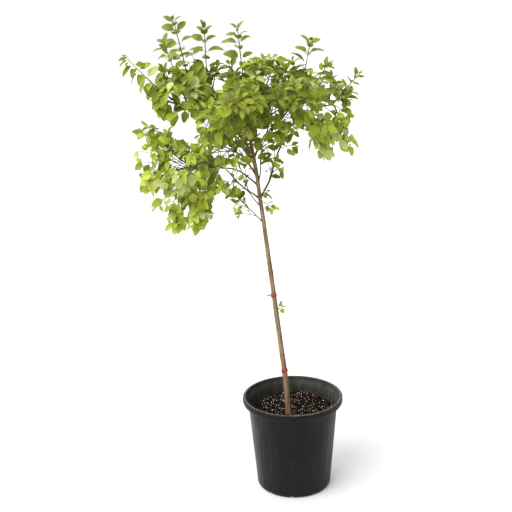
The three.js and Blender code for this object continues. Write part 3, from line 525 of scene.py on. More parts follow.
class Growth:
    """Grows the masses and gathers the tubes and leaves that they are made of."""

    def __init__(self, limbs, masses):
        self.masses = masses
        self.spaces = Spaces(masses)
        samples = [(limb.path.at(share), limb.radius(share)) for limb in limbs.values()
                   for share in limb.path.rings(SPACE["limb_step"])]
        self.limb_points = np.array([point for point, _ in samples])
        self.limb_radii = np.array([radius for _, radius in samples])
        self.tubes, self.stalks, self.leaves = [], [], []
        self.hearts = np.full((LEAF["most"], 3), np.inf)

    def clear_of_limbs(self, points, margin):
        gaps = np.linalg.norm(points[:, None, :] - self.limb_points, axis=-1) - self.limb_radii
        return gaps.min() > margin

    def leaf_fits(self, mass, leaf):
        heart, _ = blade_frame(leaf, LEAF["heart"])
        apart = mass.manner["apart"]
        others = self.hearts[:len(self.leaves) + 1]
        if np.linalg.norm(others - heart, axis=1).min() < apart:
            return False
        across = np.cross(leaf["direction"], leaf["normal"]) * leaf["length"] * leaf["width"] / 2
        points = np.array([blade_frame(leaf, share)[0] + across * side
                           for share, side in LEAF["tests"]])
        return (self.spaces.holds(mass, points).all() and not under_open_sky(points).any()
                and self.clear_of_limbs(points, SPACE["limb_gap"]))

    def grow_leaf(self, mass, node, along, outward, size, shade, draw, spread=LEAF["spread"]):
        """Adds a leaf and its stalk at a node, smaller where space is short, or none."""
        direction = stand_off(along, outward, spread)
        drop = draw.between(-LEAF["sway"], LEAF["sway"]) - mass.manner["droop"]
        direction = unit(direction + UP * drop)
        hint = LIGHT[mass.upright] + draw.anywhere() * LEAF["twist"][mass.upright]
        normal = unit(hint - direction * hint.dot(direction))
        leaf = {
            "direction": direction, "normal": normal,
            "width": mass.manner["width"] * mix(LEAF["narrow"], 1, min(size, 1)),
            "curl": draw.between(*mass.manner["curl"]), "shade": shade, "tone": draw.next(),
            "fold": math.radians(draw.between(*LEAF["fold"])), "phase": draw.between(0, math.tau),
            "mass": mass.name,
        }
        full = mass.manner["length"]
        length = full * size * draw.between(*LEAF["sizes"])
        while length > full * mass.manner["least"] * min(size, 1):
            stalk = LEAF["stalk"] * length / full
            leaf.update(length=length, root=node + direction * (stalk + STEM["tip"]))
            if self.leaf_fits(mass, leaf):
                self.hearts[len(self.leaves)] = blade_frame(leaf, LEAF["heart"])[0]
                self.leaves.append(dict(leaf))
                self.stalks.append((node, leaf["root"]))
                return
            length *= LEAF["shrink"]

    def room_along(self, mass, point, direction):
        """How far a straight line runs inside a mass's own space."""
        distances = np.arange(TWIG["step"], mass.manner["reach"], TWIG["step"])
        inside = self.spaces.holds(mass, point + distances[:, None] * direction)
        return distances[-1] if inside.all() else float(inside.argmin() * TWIG["step"])

    def grow_along(self, mass, path, shares, turn, shade, twigs, end, wood, draw):
        """Pairs of twigs and leaves at the nodes of a stem or twig, each pair turned from the last,
        then the smaller leaves at its end, and its wood as far as the last leaf. twigs holds how
        far along they start, their order and their age."""
        twigs_to, order, age = twigs
        grown, last = len(self.leaves), 0.0
        for share in shares:
            along, point = path.along(share), path.at(share)
            own_shade = shade or draw.one_of(mass.palette)
            for side in (0, FULL_TURN / 2):
                outward = across_at(along, turn + side + draw.between(-NODE["jitter"], NODE["jitter"]))
                if share <= twigs_to:
                    self.grow_twig(mass, point, along, outward, order, age, draw)
                self.grow_leaf(mass, point, along, outward, 1, own_shade, draw)
            turn += NODE["turn"]
            if len(self.leaves) > grown:
                grown, last = len(self.leaves), share
        pairs, end_shade = end
        for distance, size, spread in pairs:
            share = 1 - distance / path.length
            along, point = path.along(share), path.at(share)
            for side in (1, -1):
                self.grow_leaf(mass, point, along, across_at(along, turn) * side, size, end_shade, draw,
                               spread)
            turn += NODE["turn"]
        if len(self.leaves) > grown:
            last = 1.0
        if last > 0:
            self.tubes.append((Path(path.at(np.linspace(0, last, TWIG["fineness"]))), *wood))

    def grow_twig(self, mass, foot, along, outward, order, age, draw):
        """A side twig with its leaves and finer twigs, or none where there is no room."""
        lifted = UP * TWIG["bend"] * mass.lift
        direction = unit(stand_off(along, outward, TWIG["spread"]) + lifted)
        room = self.room_along(mass, foot, direction)
        length = (room - TWIG["leaf_room"]) * draw.between(*TWIG["lengths"])
        if room < TWIG["room"][order] or length < TWIG["shortest"]:
            return
        rise, radii = -TWIG["bow"] * length * mass.lift, TWIG["radii"][order]
        path = Path(bowed_line(foot, foot + direction * length, rise, 8))
        away = path.at(np.linspace(0.3, 1, 6))
        if not self.clear_of_limbs(away, radii[0] + SPACE["limb_gap"]):
            return
        shade = draw.one_of(mass.palette)
        nodes = max(round(length / mass.manner["spacing"]), 1)
        turn = draw.between(0, FULL_TURN / 2)
        shares = [i / (nodes + TWIG["end_gap"]) for i in range(1, nodes + 1)]
        finer = (1 if order == 0 else -1, 1, age + TWIG["finer_ageing"])
        wood = (radii, TWIG["sides"][order], (age, age + TWIG["ageing"]))
        self.grow_along(mass, path, shares, turn, shade, finer, (TUFT, shade), wood, draw)

    def grow_mass(self, mass):
        """One mass of foliage, along its stem."""
        draw = Draw(SEED["first"] + SEED["step"] * mass.index)
        path, manner = mass.stem.path, mass.manner
        end_shade = draw.one_of(ROSETTE_SHADES if mass.upright else mass.palette)
        nodes = max(int((path.length - NODE["bare"]) / manner["spacing"]), 1)
        turn = FULL_TURN / 4 if mass.upright else draw.between(0, FULL_TURN / 2)
        shares = [mix(NODE["bare"] / path.length, NODE["last"], i / nodes) for i in range(nodes + 1)]
        if mass.upright:
            shares = [share for share in shares if path.length * (1 - share) >= ROSETTE[0][0]]
        twigs = (-1 if mass.small else manner["twigs_to"], 0, TWIG["age"])
        end = (ROSETTE if mass.upright else TUFT, end_shade)
        wood = (TWIG["radii"][0] if mass.small else mass.stem.radii, STEM["sides"],
                STEM["highlight_ages"] if mass.leaning else STEM["ages"])
        self.grow_along(mass, path, shares, turn, None, twigs, end, wood, draw)


def camera_axes():
    """The ways that are right, up and forward for the camera."""
    pitch, roll = math.radians(CAMERA["pitch"]), math.radians(CAMERA["roll"])
    forward = np.array([0, math.cos(pitch), -math.sin(pitch)])
    level_up = np.array([0, math.sin(pitch), math.cos(pitch)])
    right = math.cos(roll) * RIGHT + math.sin(roll) * level_up
    return right, math.cos(roll) * level_up - math.sin(roll) * RIGHT, forward


VIEW = camera_axes()


def under_open_sky(points):
    """Whether each point would close one of the openings in the crown."""
    right, up, forward = VIEW
    offsets = points * MM - np.array(CAMERA["place"])
    scale = CAMERA["focal_px"] / (offsets @ forward)
    across = IMAGE_SIDE / 2 + scale * (offsets @ right)
    down = IMAGE_SIDE / 2 - scale * (offsets @ up)
    x, y, wide, high = SKY_TABLE
    return (((across[:, None] - x) / wide)**2 + ((down[:, None] - y) / high)**2 < 1).any(1)


def stand_off(along, outward, angle):
    """The direction of a leaf or twig that stands off a stem at an angle in degrees."""
    radians = math.radians(angle)
    return along * math.cos(radians) + outward * math.sin(radians)


def across_at(along, turn):
    """A direction across a stem, turned about it by an angle in degrees."""
    side = unit(np.cross(RIGHT if abs(along[2]) > UPRIGHT else UP, along))
    radians = math.radians(turn)
    return side * math.cos(radians) + np.cross(along, side) * math.sin(radians)


# Making pieces

def select_only(*pieces):
    """Selects just these objects, the first of them active."""
    for thing in bpy.context.selected_objects:
        thing.select_set(False)
    for piece in pieces:
        piece.select_set(True)
        bpy.context.view_layer.objects.active = pieces[0]


def start_edit(mode="FACE"):
    """Goes into edit mode with all of the active piece selected."""
    bpy.ops.object.mode_set(mode="EDIT")
    bpy.ops.mesh.select_mode(type=mode)
    bpy.ops.mesh.select_all(action="SELECT")


def end_edit(turn_outwards=False):
    if turn_outwards:
        bpy.ops.mesh.select_all(action="SELECT")
        bpy.ops.mesh.normals_make_consistent(inside=False)
    bpy.ops.object.mode_set(mode="OBJECT")


def select_faces(piece, chosen):
    """In edit mode, selects the faces whose centre and normal are chosen."""
    bpy.ops.mesh.select_all(action="DESELECT")
    mesh = bmesh.from_edit_mesh(piece.data)
    for face in mesh.faces:
        face.select_set(chosen(face.calc_center_median(), face.normal))
    bmesh.update_edit_mesh(piece.data)


def name_piece(piece, name):
    piece.name = name
    piece.data.name = name
    return piece


def smooth(piece, degrees):
    select_only(piece)
    bpy.ops.object.shade_smooth_by_angle(angle=math.radians(degrees))


def finish_piece(piece, materials, slot, *nodes):
    """Gives a piece its materials and its body, and hides the imported nodes that it stands for; the slot
    is not used.
    """
    piece.data.materials.clear()
    for material in materials:
        piece.data.materials.append(material)
    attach(piece, BODY)
    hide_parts(*nodes)


def turned_shell(name, profile, segments):
    """A round shell, drawn ring by ring from (radius, height) points and closed at both ends."""
    select_only()
    radius, height = profile[0]
    bpy.ops.mesh.primitive_circle_add(vertices=segments, radius=radius * MM,
                                      location=(0, 0, height * MM))
    piece = name_piece(bpy.context.object, name)
    bpy.ops.object.transform_apply()
    start_edit("EDGE")
    for (radius, height), (next_radius, next_height) in zip(profile, profile[1:]):
        rise, scale = (next_height - height) * MM, next_radius / radius
        bpy.ops.mesh.extrude_edges_move(TRANSFORM_OT_translate={"value": (0, 0, rise)})
        bpy.ops.transform.resize(value=(scale, scale, 1), center_override=(0, 0, next_height * MM))
    bpy.ops.mesh.select_all(action="SELECT")
    bpy.ops.mesh.fill_holes(sides=0)
    end_edit(turn_outwards=True)
    return piece


def arc(centre, radius, start, end, steps):
    """Points of a round stretch of a profile, between two angles in degrees."""
    angles = [math.radians(mix(start, end, i / steps)) for i in range(steps + 1)]
    return [(centre[0] + radius * math.cos(a), centre[1] + radius * math.sin(a)) for a in angles]


def straight_tube(name, sides, rings):
    """A closed upright tube of unit size, whose rings are then laid along a limb."""
    select_only()
    bpy.ops.mesh.primitive_circle_add(vertices=sides, radius=1, fill_type="NGON")
    piece = name_piece(bpy.context.object, name)
    start_edit()
    bpy.ops.mesh.extrude_region_move(TRANSFORM_OT_translate={"value": (0, 0, 1)})
    bpy.ops.mesh.select_mode(type="EDGE")
    bpy.ops.mesh.select_all(action="DESELECT")
    mesh = bmesh.from_edit_mesh(piece.data)
    for edge in mesh.edges:
        edge.select_set(abs(edge.verts[0].co.z - edge.verts[1].co.z) > 0.5)
    bmesh.update_edit_mesh(piece.data)
    bpy.ops.mesh.subdivide(number_cuts=rings - 1)
    end_edit(turn_outwards=True)
    return piece


def relief(angle, distance, radius, height):
    """Lengthwise ridges of bark: how far the surface stands out at a place round a limb."""
    def ridges(closer, finer, shift):
        reach = RIDGE["around"] * closer
        along = distance / RIDGE["along"] * finer + shift
        return noise.noise(Vector((math.cos(angle) * reach, math.sin(angle) * reach, along)))

    return height * (ridges(1, 1, 0) + RIDGE["fine"] * ridges(3, 2.6, radius))


def knots_of(limb):
    """Places of the old leaf joints on the trunk: distance along it, angle, height and size."""
    return [(limb.path.length * (KNOT["first"] + KNOT["step"] * i), math.radians(KNOT["turn"] * i),
             KNOT["height"] * (1 if i % 3 else KNOT["taller"]),
             KNOT["size"] * (1 if i % 2 else KNOT["wider"]))
            for i in range(KNOT["count"])]


def lay_along(piece, limb, shares, height, knots=()):
    """Lays a straight tube's rings along a limb, raises its bark and keeps where each point was."""
    count = len(piece.data.vertices)
    flat = np.empty(count * 3)
    piece.data.vertices.foreach_get("co", flat)
    points = flat.reshape(-1, 3)
    ring = np.rint(points[:, 2] * (len(shares) - 1)).astype(int)
    angles = np.arctan2(points[:, 1], points[:, 0])
    centres = limb.path.at(shares)
    sides, ups = frames_along(centres)
    radii = limb.radius(shares)
    distances = shares * limb.path.length
    out = np.array([radii[r] + relief(a, distances[r], radii[r], height)
                    for r, a in zip(ring, angles)])
    for distance, angle, knot_height, size in knots:
        away = (angles - angle + math.pi) % math.tau - math.pi
        spread = ((distances[ring] - distance) / size)**2 + (away * radii[ring] / size * KNOT["wider"])**2
        out += knot_height * np.exp(-spread)
    cos, sin = np.cos(angles)[:, None], np.sin(angles)[:, None]
    placed = centres[ring] + out[:, None] * (cos * sides[ring] + sin * ups[ring])
    piece.data.vertices.foreach_set("co", (placed * MM).ravel())
    straight = np.column_stack([out * np.cos(angles), out * np.sin(angles), distances[ring]]) * MM
    keep_values(piece.data, "bark_place", "FLOAT_VECTOR", straight)
    piece.data.update()


# Joined meshes of many small things

class Pile:
    """Points and faces of many small things, gathered for one joined mesh."""

    def __init__(self):
        self.points, self.faces, self.values, self.count = [], [], [], 0

    def add(self, points, faces, values):
        self.points.append(points)
        self.faces.extend([[self.count + corner for corner in face] for face in faces])
        self.values.append(np.broadcast_to(values, len(points)))
        self.count += len(points)

    def make(self, name, attribute):
        mesh = bpy.data.meshes.new(name)
        mesh.from_pydata((np.vstack(self.points) * MM).tolist(), [], self.faces)
        keep_values(mesh, attribute, "FLOAT", np.concatenate(self.values))
        return link(name, mesh)


def link(name, mesh):
    piece = bpy.data.objects.new(name, mesh)
    bpy.context.scene.collection.objects.link(piece)
    return piece


def keep_values(mesh, name, kind, values):
    """Keeps a number or place for each point of a mesh, which its material reads."""
    layer = mesh.attributes.new(name, kind, "POINT")
    layer.data.foreach_set("value" if kind == "FLOAT" else "vector", values.astype(np.float32).ravel())


def tube_arrays(line, radii, sides):
    """Points and faces of a closed round tube along a line."""
    across, ups = frames_along(line)
    angles = np.arange(sides) * math.tau / sides
    ring = (np.cos(angles)[None, :, None] * across[:, None]
            + np.sin(angles)[None, :, None] * ups[:, None])
    points = (line[:, None] + ring * np.asarray(radii)[:, None, None]).reshape(-1, 3)
    faces = [[i * sides + k, i * sides + (k + 1) % sides, (i + 1) * sides + (k + 1) % sides,
              (i + 1) * sides + k] for i in range(len(line) - 1) for k in range(sides)]
    faces.append(list(range(sides))[::-1])
    faces.append([(len(line) - 1) * sides + k for k in range(sides)])
    return points, faces


def leaf_faces():
    """Faces of one leaf and the material of each: 0 for the upper side, 1 for the under side and
    2 for the rib. Points are the root, the tip, and at each station left, rib left, rib right,
    right and keel."""
    root, tip = 0, 1
    rows = [[2 + 5 * i + k for k in range(5)] for i in range(len(STATIONS))]
    strips = [(0, 1, 0), (1, 2, 2), (2, 3, 0), (3, 4, 1), (4, 0, 1)]
    faces, kinds = [], []
    for near, far in zip(rows, rows[1:]):
        for start, end, kind in strips:
            faces.append([near[start], near[end], far[end], far[start]])
            kinds.append(kind)
    for start, end, kind in strips:
        faces.append([root, rows[0][end], rows[0][start]])
        faces.append([tip, rows[-1][start], rows[-1][end]])
        kinds += [kind, kind]
    return faces, kinds


def leaf_points(leaves):
    """Points of many leaves at once, as one array for each leaf, and their places on the leaf."""
    def column(key):
        return np.array([leaf[key] for leaf in leaves], float)

    root, direction, normal = column("root"), column("direction"), column("normal")
    across = np.cross(direction, normal)
    length, width, curl, fold, phase = (column(key)[:, None, None]
                                        for key in ("length", "width", "curl", "fold", "phase"))
    share = np.concatenate([STATIONS, [0.0, 1.0]])[None, :, None]
    bend = curl * share
    forward, fall = np.sin(bend) / curl, (1 - np.cos(bend)) / curl
    direction, normal, across, root = (a[:, None, :] for a in (direction, normal, across, root))
    rib = root + length * (direction * forward - normal * fall)
    above = direction * np.sin(bend) + normal * np.cos(bend)
    half = length * width / 2 * np.concatenate([WIDTHS, [0.0, 0.0]])[None, :, None]
    waves = LEAF["waves"]
    wave = LEAF["wave"] * half * np.sin(phase + share * math.tau * waves[0])
    other_wave = LEAF["wave"] * half * np.sin(phase * 1.7 + share * math.tau * waves[1])
    rib_half = LEAF["rib"] * (1.15 - share)
    edge_out, edge_up = half * np.cos(fold), half * np.sin(fold)
    left = rib - across * edge_out + above * (edge_up + wave)
    right = rib + across * edge_out + above * (edge_up + other_wave)
    rows = np.stack([left, rib - across * rib_half, rib + across * rib_half, right,
                     rib - above * LEAF["keel"] * (1.1 - share)], axis=2)
    count = len(STATIONS)
    ends = rib[:, count:]
    points = np.concatenate([ends, rows[:, :count].reshape(len(leaves), -1, 3)], axis=1)
    sideways = np.array([0.0, 0.49, 0.51, 1.0, 0.5])
    places = [(0.5, 0.0), (0.5, 1.0)] + [(u, v) for v in STATIONS for u in sideways]
    return points, np.array(places)


def make_leaves(name, leaves):
    """One joined mesh of leaves, with each one's tone and the place of each point on its leaf."""
    points, places = leaf_points(leaves)
    faces, kinds = leaf_faces()
    each = points.shape[1]
    mesh = bpy.data.meshes.new(name)
    all_faces = [[i * each + corner for corner in face] for i in range(len(leaves)) for face in faces]
    mesh.from_pydata((points.reshape(-1, 3) * MM).tolist(), [], all_faces)
    mesh.polygons.foreach_set("material_index", kinds * len(leaves))
    corners = np.empty(len(mesh.loops), np.int32)
    mesh.loops.foreach_get("vertex_index", corners)
    layer = mesh.uv_layers.new(name="leaf")
    layer.data.foreach_set("uv", places[corners % each].astype(np.float32).ravel())
    tones = np.repeat([leaf["tone"] for leaf in leaves], each)
    keep_values(mesh, "tone", "FLOAT", tones)
    return link(name, mesh)


# Materials

class Tree:
    """A tree of shader nodes, with short ways to add nodes and link them."""

    def __init__(self, tree):
        self.tree = tree

    def add(self, kind, inputs=None, **settings):
        node = self.tree.nodes.new("ShaderNode" + kind)
        for key, value in settings.items():
            setattr(node, key, value)
        for key, value in (inputs or {}).items():
            if isinstance(value, bpy.types.NodeSocket):
                self.tree.links.new(value, node.inputs[key])
            else:
                node.inputs[key].default_value = value
        return node

    def wire(self, **links):
        """Feeds the shader's sockets, named with _ for a space."""
        for name, socket in links.items():
            self.tree.links.new(socket, self.shader.inputs[name.replace("_", " ")])

    def math(self, operation, first, second=0.0, clamp=False):
        node = self.add("Math", {0: first, 1: second}, operation=operation, use_clamp=clamp)
        return node.outputs[0]

    def times(self, product, *factors):
        for factor in factors:
            product = self.math("MULTIPLY", product, factor)
        return product

    def plus(self, first, second, clamp=False):
        return self.math("ADD", first, second, clamp)

    def blend(self, factor, first, second):
        return self.add("Mix", {0: factor, 6: first, 7: second}, data_type="RGBA").outputs[2]

    def remap(self, value, low, high, to_low=0.0, to_high=1.0):
        return self.add("MapRange", {0: value, 1: low, 2: high, 3: to_low, 4: to_high}).outputs[0]

    def noise(self, place, scale, detail=3.0, roughness=0.55):
        node = self.add("TexNoise", {"Vector": place, "Scale": scale, "Detail": detail,
                                     "Roughness": roughness})
        return node.outputs["Fac"]

    def stretch(self, place, along):
        """The place with its upright direction scaled, so that a pattern runs along it."""
        return self.add("Mapping", {"Vector": place, "Scale": (1, 1, along)}).outputs[0]

    def object_place(self):
        return self.add("TexCoord").outputs["Object"]

    def parts(self, place):
        return self.add("SeparateXYZ", {0: place}).outputs

    def attribute(self, name, output="Fac"):
        return self.add("Attribute", attribute_name=name).outputs[output]

    def bump(self, height, strength, distance):
        return self.add("Bump", {"Height": height, "Strength": strength, "Distance": distance}).outputs[0]

    def group(self, name, inputs):
        return self.add("Group", inputs, node_tree=bpy.data.node_groups[name]).outputs

    def mottle(self, place, broad, fine):
        return self.group("mottle", {"Vector": place, "Broad": broad, "Fine": fine})["Mask"]


def new_group(name, inputs, outputs):
    """An empty shader group with named sockets: its tree, and the sockets of its two end nodes."""
    group = bpy.data.node_groups.new(name, "ShaderNodeTree")
    for side, sockets in (("INPUT", inputs), ("OUTPUT", outputs)):
        for socket, kind in sockets.items():
            group.interface.new_socket(name=socket, in_out=side, socket_type="NodeSocket" + kind)
    given, out = (group.nodes.new(kind) for kind in ("NodeGroupInput", "NodeGroupOutput"))
    return Tree(group), given.outputs, out.inputs


def new_material(name, colour, roughness, specular=0.5):
    """A material with a plain shader, and its tree, ready for more."""
    material = bpy.data.materials.new(name)
    material.use_nodes = True
    material.node_tree.nodes.clear()
    material.diffuse_color = colour
    tree = Tree(material.node_tree)
    tree.shader = tree.add("BsdfPrincipled", {"Base Color": colour, "Roughness": roughness,
                                              "Specular IOR Level": specular})
    tree.add("OutputMaterial", {"Surface": tree.shader.outputs[0]})
    return material, tree


def make_mottle_group():
    """Broad and fine unevenness of a surface, from 0 to 1."""
    tree, given, out = new_group("mottle", {"Vector": "Vector", "Broad": "Float", "Fine": "Float"},
                                 {"Mask": "Float"})
    broad = tree.noise(given["Vector"], given["Broad"], 2.0)
    fine = tree.noise(given["Vector"], given["Fine"], 4.0, 0.65)
    tree.tree.links.new(tree.plus(tree.times(broad, 0.6), tree.times(fine, 0.4)), out["Mask"])


def make_leaf_group():
    """A leaf's side veins, the tone that tells it from its neighbours, and broad unevenness."""
    tree, given, out = new_group(
        "leaf_pattern", {"Base": "Color", "Vein": "Color", "Shade": "Color", "Veins": "Float"},
        {"Color": "Color", "Height": "Float"})
    place = tree.parts(tree.add("UVMap", uv_map="leaf").outputs[0])
    across = tree.times(tree.math("ABSOLUTE", tree.math("SUBTRACT", place[0], 0.5)), 2.2)
    rows = tree.math("SUBTRACT", tree.times(place[1], 6.5), across)
    vein = tree.times(tree.remap(tree.math("PINGPONG", rows, 0.5), 0.0, 0.09, 1.0, 0.0), given["Veins"])
    tone = tree.attribute("tone")
    patch = tree.remap(tree.noise(tree.object_place(), 24.0, 2.0), 0.35, 0.7)
    base = tree.blend(tree.times(patch, 0.28), given["Base"], given["Shade"])
    toned = tree.add("HueSaturation", {"Hue": tree.remap(tone, 0.0, 1.0, 0.512, 0.492), "Saturation": 1.0,
                                       "Value": tree.remap(tone, 0.0, 1.0, 0.84, 1.12), "Fac": 1.0,
                                       "Color": base})
    tree.tree.links.new(tree.blend(vein, toned.outputs[0], given["Vein"]), out["Color"])
    tree.tree.links.new(tree.math("SUBTRACT", 1.0, vein), out["Height"])


def make_leaf_materials(shade):
    """The upper side, the paler and duller under side, and the pale rib of one shade of leaf."""
    red, green, blue = SHADES[shade]
    under = linear(mix(red, 190, 0.36), mix(green, 200, 0.3), mix(blue, 140, 0.36))
    dark = linear(red * 0.72, green * 0.78, blue * 0.72)
    vein = linear(mix(red, 200, 0.4), mix(green, 214, 0.4), mix(blue, 130, 0.4))
    made = []
    for side, base, roughness, veins in (("upper", linear(red, green, blue), 0.46, 0.3),
                                         ("under", under, 0.62, 0.2)):
        material, tree = new_material(f"leaf_{shade}_{side}", base, roughness, 0.3)
        pattern = tree.group("leaf_pattern", {"Base": base, "Vein": vein, "Shade": dark, "Veins": veins})
        tree.wire(Base_Color=pattern["Color"], Normal=tree.bump(pattern["Height"], 0.5, 0.0004))
        made.append(material)
    rib, _ = new_material(f"leaf_{shade}_rib", vein, 0.55)
    return [*made, rib]


def make_bark(name):
    """Bark with lengthwise grain and pale pores, painted light as a warmer colour on its left side and
    painted shade, partly mossy green, on its right.
    """
    light, middle, dark, lit_side_tint, shade_side_moss = (linear(*colour) for colour in BARKS[name])
    material, tree = new_material(name, middle, 0.82, 0.2)
    place = tree.attribute("bark_place", "Vector")
    _, rightward, distance = tree.parts(place)

    def streaks(along, scale, *detail):
        return tree.noise(tree.stretch(place, along), scale, *detail)

    grain = streaks(0.07, 430.0, 5.0, 0.7)
    colour = tree.blend(tree.remap(grain, 0.4, 0.58), middle, light)
    colour = tree.blend(tree.remap(streaks(0.05, 300.0), 0.54, 0.64, 0.0, 0.8), colour, dark)
    colour = tree.blend(tree.remap(streaks(0.3, 150.0), 0.5, 0.72, 0.0, 0.6), colour, dark)
    ends = tree.plus(tree.remap(distance, 0.04, 0.4, 0.55, 0.0),
                     tree.remap(distance, 0.72, 0.84, 0.0, 0.6))
    patch = tree.remap(streaks(0.2, 190.0, 2.0), 0.4, 0.56)
    # Painted light: a warmer colour on the left side, where the key light falls, near the foot and
    # towards the top.
    left = tree.remap(rightward, -0.0062, -0.0022, 1.0, 0.08)
    colour = tree.blend(tree.times(ends, patch, left), colour, lit_side_tint)
    # Painted shade, partly mossy green: a darker olive on the right side, away from the light.
    green = tree.remap(streaks(0.25, 90.0, 2.0), 0.4, 0.6, 0.3, 0.85)
    colour = tree.blend(tree.times(green, tree.remap(rightward, 0.0005, 0.006)), colour, shade_side_moss)
    pores = tree.add("TexVoronoi", {"Vector": tree.stretch(place, 0.45), "Scale": 330.0})
    spots = tree.remap(pores.outputs["Distance"], 0.12, 0.2, 0.55, 0.0)
    colour = tree.blend(spots, colour, light)
    tree.wire(Base_Color=colour, Roughness=tree.remap(grain, 0.3, 0.7, 0.92, 0.7),
              Normal=tree.bump(tree.plus(grain, tree.times(spots, 0.5)), 0.7, 0.0009))
    return material


def make_young_stem():
    """Bark of stems and twigs: brown at the foot, green towards the tip, and pale past that, a painted
    highlight that mostly the leaning shoots' stems reach.
    """
    plain, brown, green, spot, pale = (linear(*colour) for colour in YOUNG)
    material, tree = new_material("young_stem", plain, 0.6)
    age, place = tree.attribute("age"), tree.object_place()
    patch = tree.noise(place, 90.0)
    share = tree.plus(age, tree.remap(patch, 0.3, 0.7, -0.25, 0.25), True)
    colour = tree.blend(share, brown, green)
    spots = tree.remap(tree.noise(place, 420.0, 2.0), 0.5, 0.7, 0.0, 0.4)
    colour = tree.blend(spots, colour, spot)
    # Painted highlight: the pale colour past an age of 0.9, which mostly the leaning shoots' stems reach.
    colour = tree.blend(tree.remap(age, 0.9, 1.6), colour, pale)
    tree.wire(Base_Color=colour, Normal=tree.bump(patch, 0.3, 0.0004))
    return material


def make_pot_plastic():
    """Black moulded plastic with a satin skin and fine upright scuffs, a painted highlight in streaks on
    its left side, a thin speckled painted highlight round the top of the rim, an inner wall painted
    paler, partly dust and partly painted light that grows towards the right, and dusty low down."""
    colours = {name: linear(*colour) for name, colour in PLASTIC.items()}
    material, tree = new_material("pot_plastic", colours["plain"], 0.38, 0.17)
    place = tree.object_place()
    right, back, height = tree.parts(place)
    uneven = tree.mottle(place, 9.0, 60.0)
    scuffs = tree.noise(tree.stretch(place, 0.06), 210.0, 4.0, 0.7)
    marks = tree.remap(scuffs, 0.56, 0.7, 0.0, 0.6)
    colour = tree.blend(tree.remap(uneven, 0.35, 0.65), colours["dark"], colours["light"])
    colour = tree.blend(marks, colour, colours["scuff"])
    # Painted highlight: paler streaks on the left side of the wall, where the key light falls.
    lit_flank = tree.times(tree.remap(right, -0.125, -0.092, 0.75, 0.0), tree.remap(scuffs, 0.44, 0.62),
                       tree.remap(height, *PAINTED_LIGHT_AND_DUST["lit_flank"], 1.0, 0.0))
    colour = tree.blend(lit_flank, colour, colours["lit_flank"])
    radius = tree.math("SQRT", tree.plus(tree.times(right, right), tree.times(back, back)))
    slope = (POT["neck"] - POT["base"]) / (POT["neck_height"] - POT["base_round"])
    wall = tree.plus(tree.times(height, slope), (POT["base"] - POT["wall"]) * MM)
    widening = tree.plus(tree.remap(height, *PAINTED_LIGHT_AND_DUST["neck"], 0.0008, 0.0028),
                         tree.remap(height, *PAINTED_LIGHT_AND_DUST["lip"], 0.0, 0.0085))
    within = tree.math("LESS_THAN", radius, tree.plus(wall, widening))
    stripes = tree.noise(tree.stretch(place, 0.08), 60.0, 2.0)
    # Painted light, partly dust: the inner wall is paler than the outside, more so towards the right,
    # where light falls inside the pot.
    inner = tree.times(within, tree.remap(right, -0.11, 0.05, 0.5, 1.0),
                       tree.remap(stripes, 0.4, 0.62, 0.62, 1.0), tree.remap(uneven, 0.3, 0.6, 0.6, 1.0))
    colour = tree.blend(inner, colour, colours["inside"])
    dust = tree.times(tree.remap(height, *PAINTED_LIGHT_AND_DUST["dust"], 0.8, 0.0), tree.remap(uneven, 0.35, 0.65))
    colour = tree.blend(dust, colour, colours["dust"])
    # Painted highlight: a thin pale line round the top of the rim, speckled.
    edge = tree.times(tree.remap(height, *PAINTED_LIGHT_AND_DUST["edge"]), tree.remap(scuffs, 0.42, 0.62))
    colour = tree.blend(edge, colour, colours["edge"])
    rough = tree.plus(tree.remap(uneven, 0.3, 0.7, 0.36, 0.5), tree.times(marks, 0.25))
    tree.wire(Base_Color=colour, Roughness=rough,
              Normal=tree.bump(tree.noise(place, 900.0, 2.0), 0.12, 0.0005))
    return material


def make_uneven(name):
    """An uneven finish between two colours. Where light ones are to be rare or common, each small
    thing has a tone of its own too."""
    plain, dark, light, skin, scales, edges, bump, rarity = UNEVEN[name]
    material, tree = new_material(name, linear(*plain), *skin)
    uneven = tree.mottle(tree.object_place(), *scales)
    if rarity is None:
        share = tree.remap(uneven, *edges)
    else:
        tone = tree.math("POWER", tree.attribute("tone"), rarity)
        share = tree.plus(tone, tree.remap(uneven, *edges, -0.15, 0.15), True)
    tree.wire(Base_Color=tree.blend(share, linear(*dark), linear(*light)),
              Normal=tree.bump(uneven, *bump))
    return material


# Pieces of the pot

def wall_radius(high):
    """Outer radius of the pot's sloping wall at a height."""
    share = (high - POT["base_round"]) / (POT["neck_height"] - POT["base_round"])
    return mix(POT["base"], POT["neck"], share)


def pot_profile():
    """The pot's section, up its outside, over the rolled lip and down its inside."""
    base, neck, wall, height = POT["base"], POT["neck"], POT["wall"], POT["height"]
    rounding, lip, rim, top = POT["base_round"], POT["lip"], POT["rim"], POT["neck_height"]
    pole, flat, floor = POT["pole"], POT["flat"], POT["floor"]
    outer_bands = (PANEL["low"], *POT["bands"], PANEL["high"])
    inner_bands = (PANEL["high"], *POT["inner_bands"], PANEL["inner_low"], *POT["low_bands"])
    return [
        (pole, 0), (flat, 0), *arc((base - rounding, rounding), rounding, -90, 0, 6),
        *[(wall_radius(high), high) for high in outer_bands],
        *[(neck + out, top + up) for out, up in UNDER_LIP], (lip - 6, top + 1.6),
        *arc((lip - 5, top + POT["lip_foot"] - 1), 5, -60, 0, 4),
        *arc((lip - 4, height - 4), 4, 0, 90, 5), *arc((rim + 1, height - 1), 1, 90, 180, 3),
        *[(rim + out, height + up) for out, up in INSIDE_RIM],
        *[(neck - wall + out, top + up) for out, up in INSIDE_NECK],
        *[(wall_radius(high) - wall, high) for high in inner_bands],
        (base - wall - 4, floor + 2), (base - wall - 9, floor), (flat, floor), (pole, floor),
    ]


def panel_number(x, y):
    return int((math.degrees(math.atan2(y, x)) % FULL_TURN) / (FULL_TURN / PANEL["count"]))


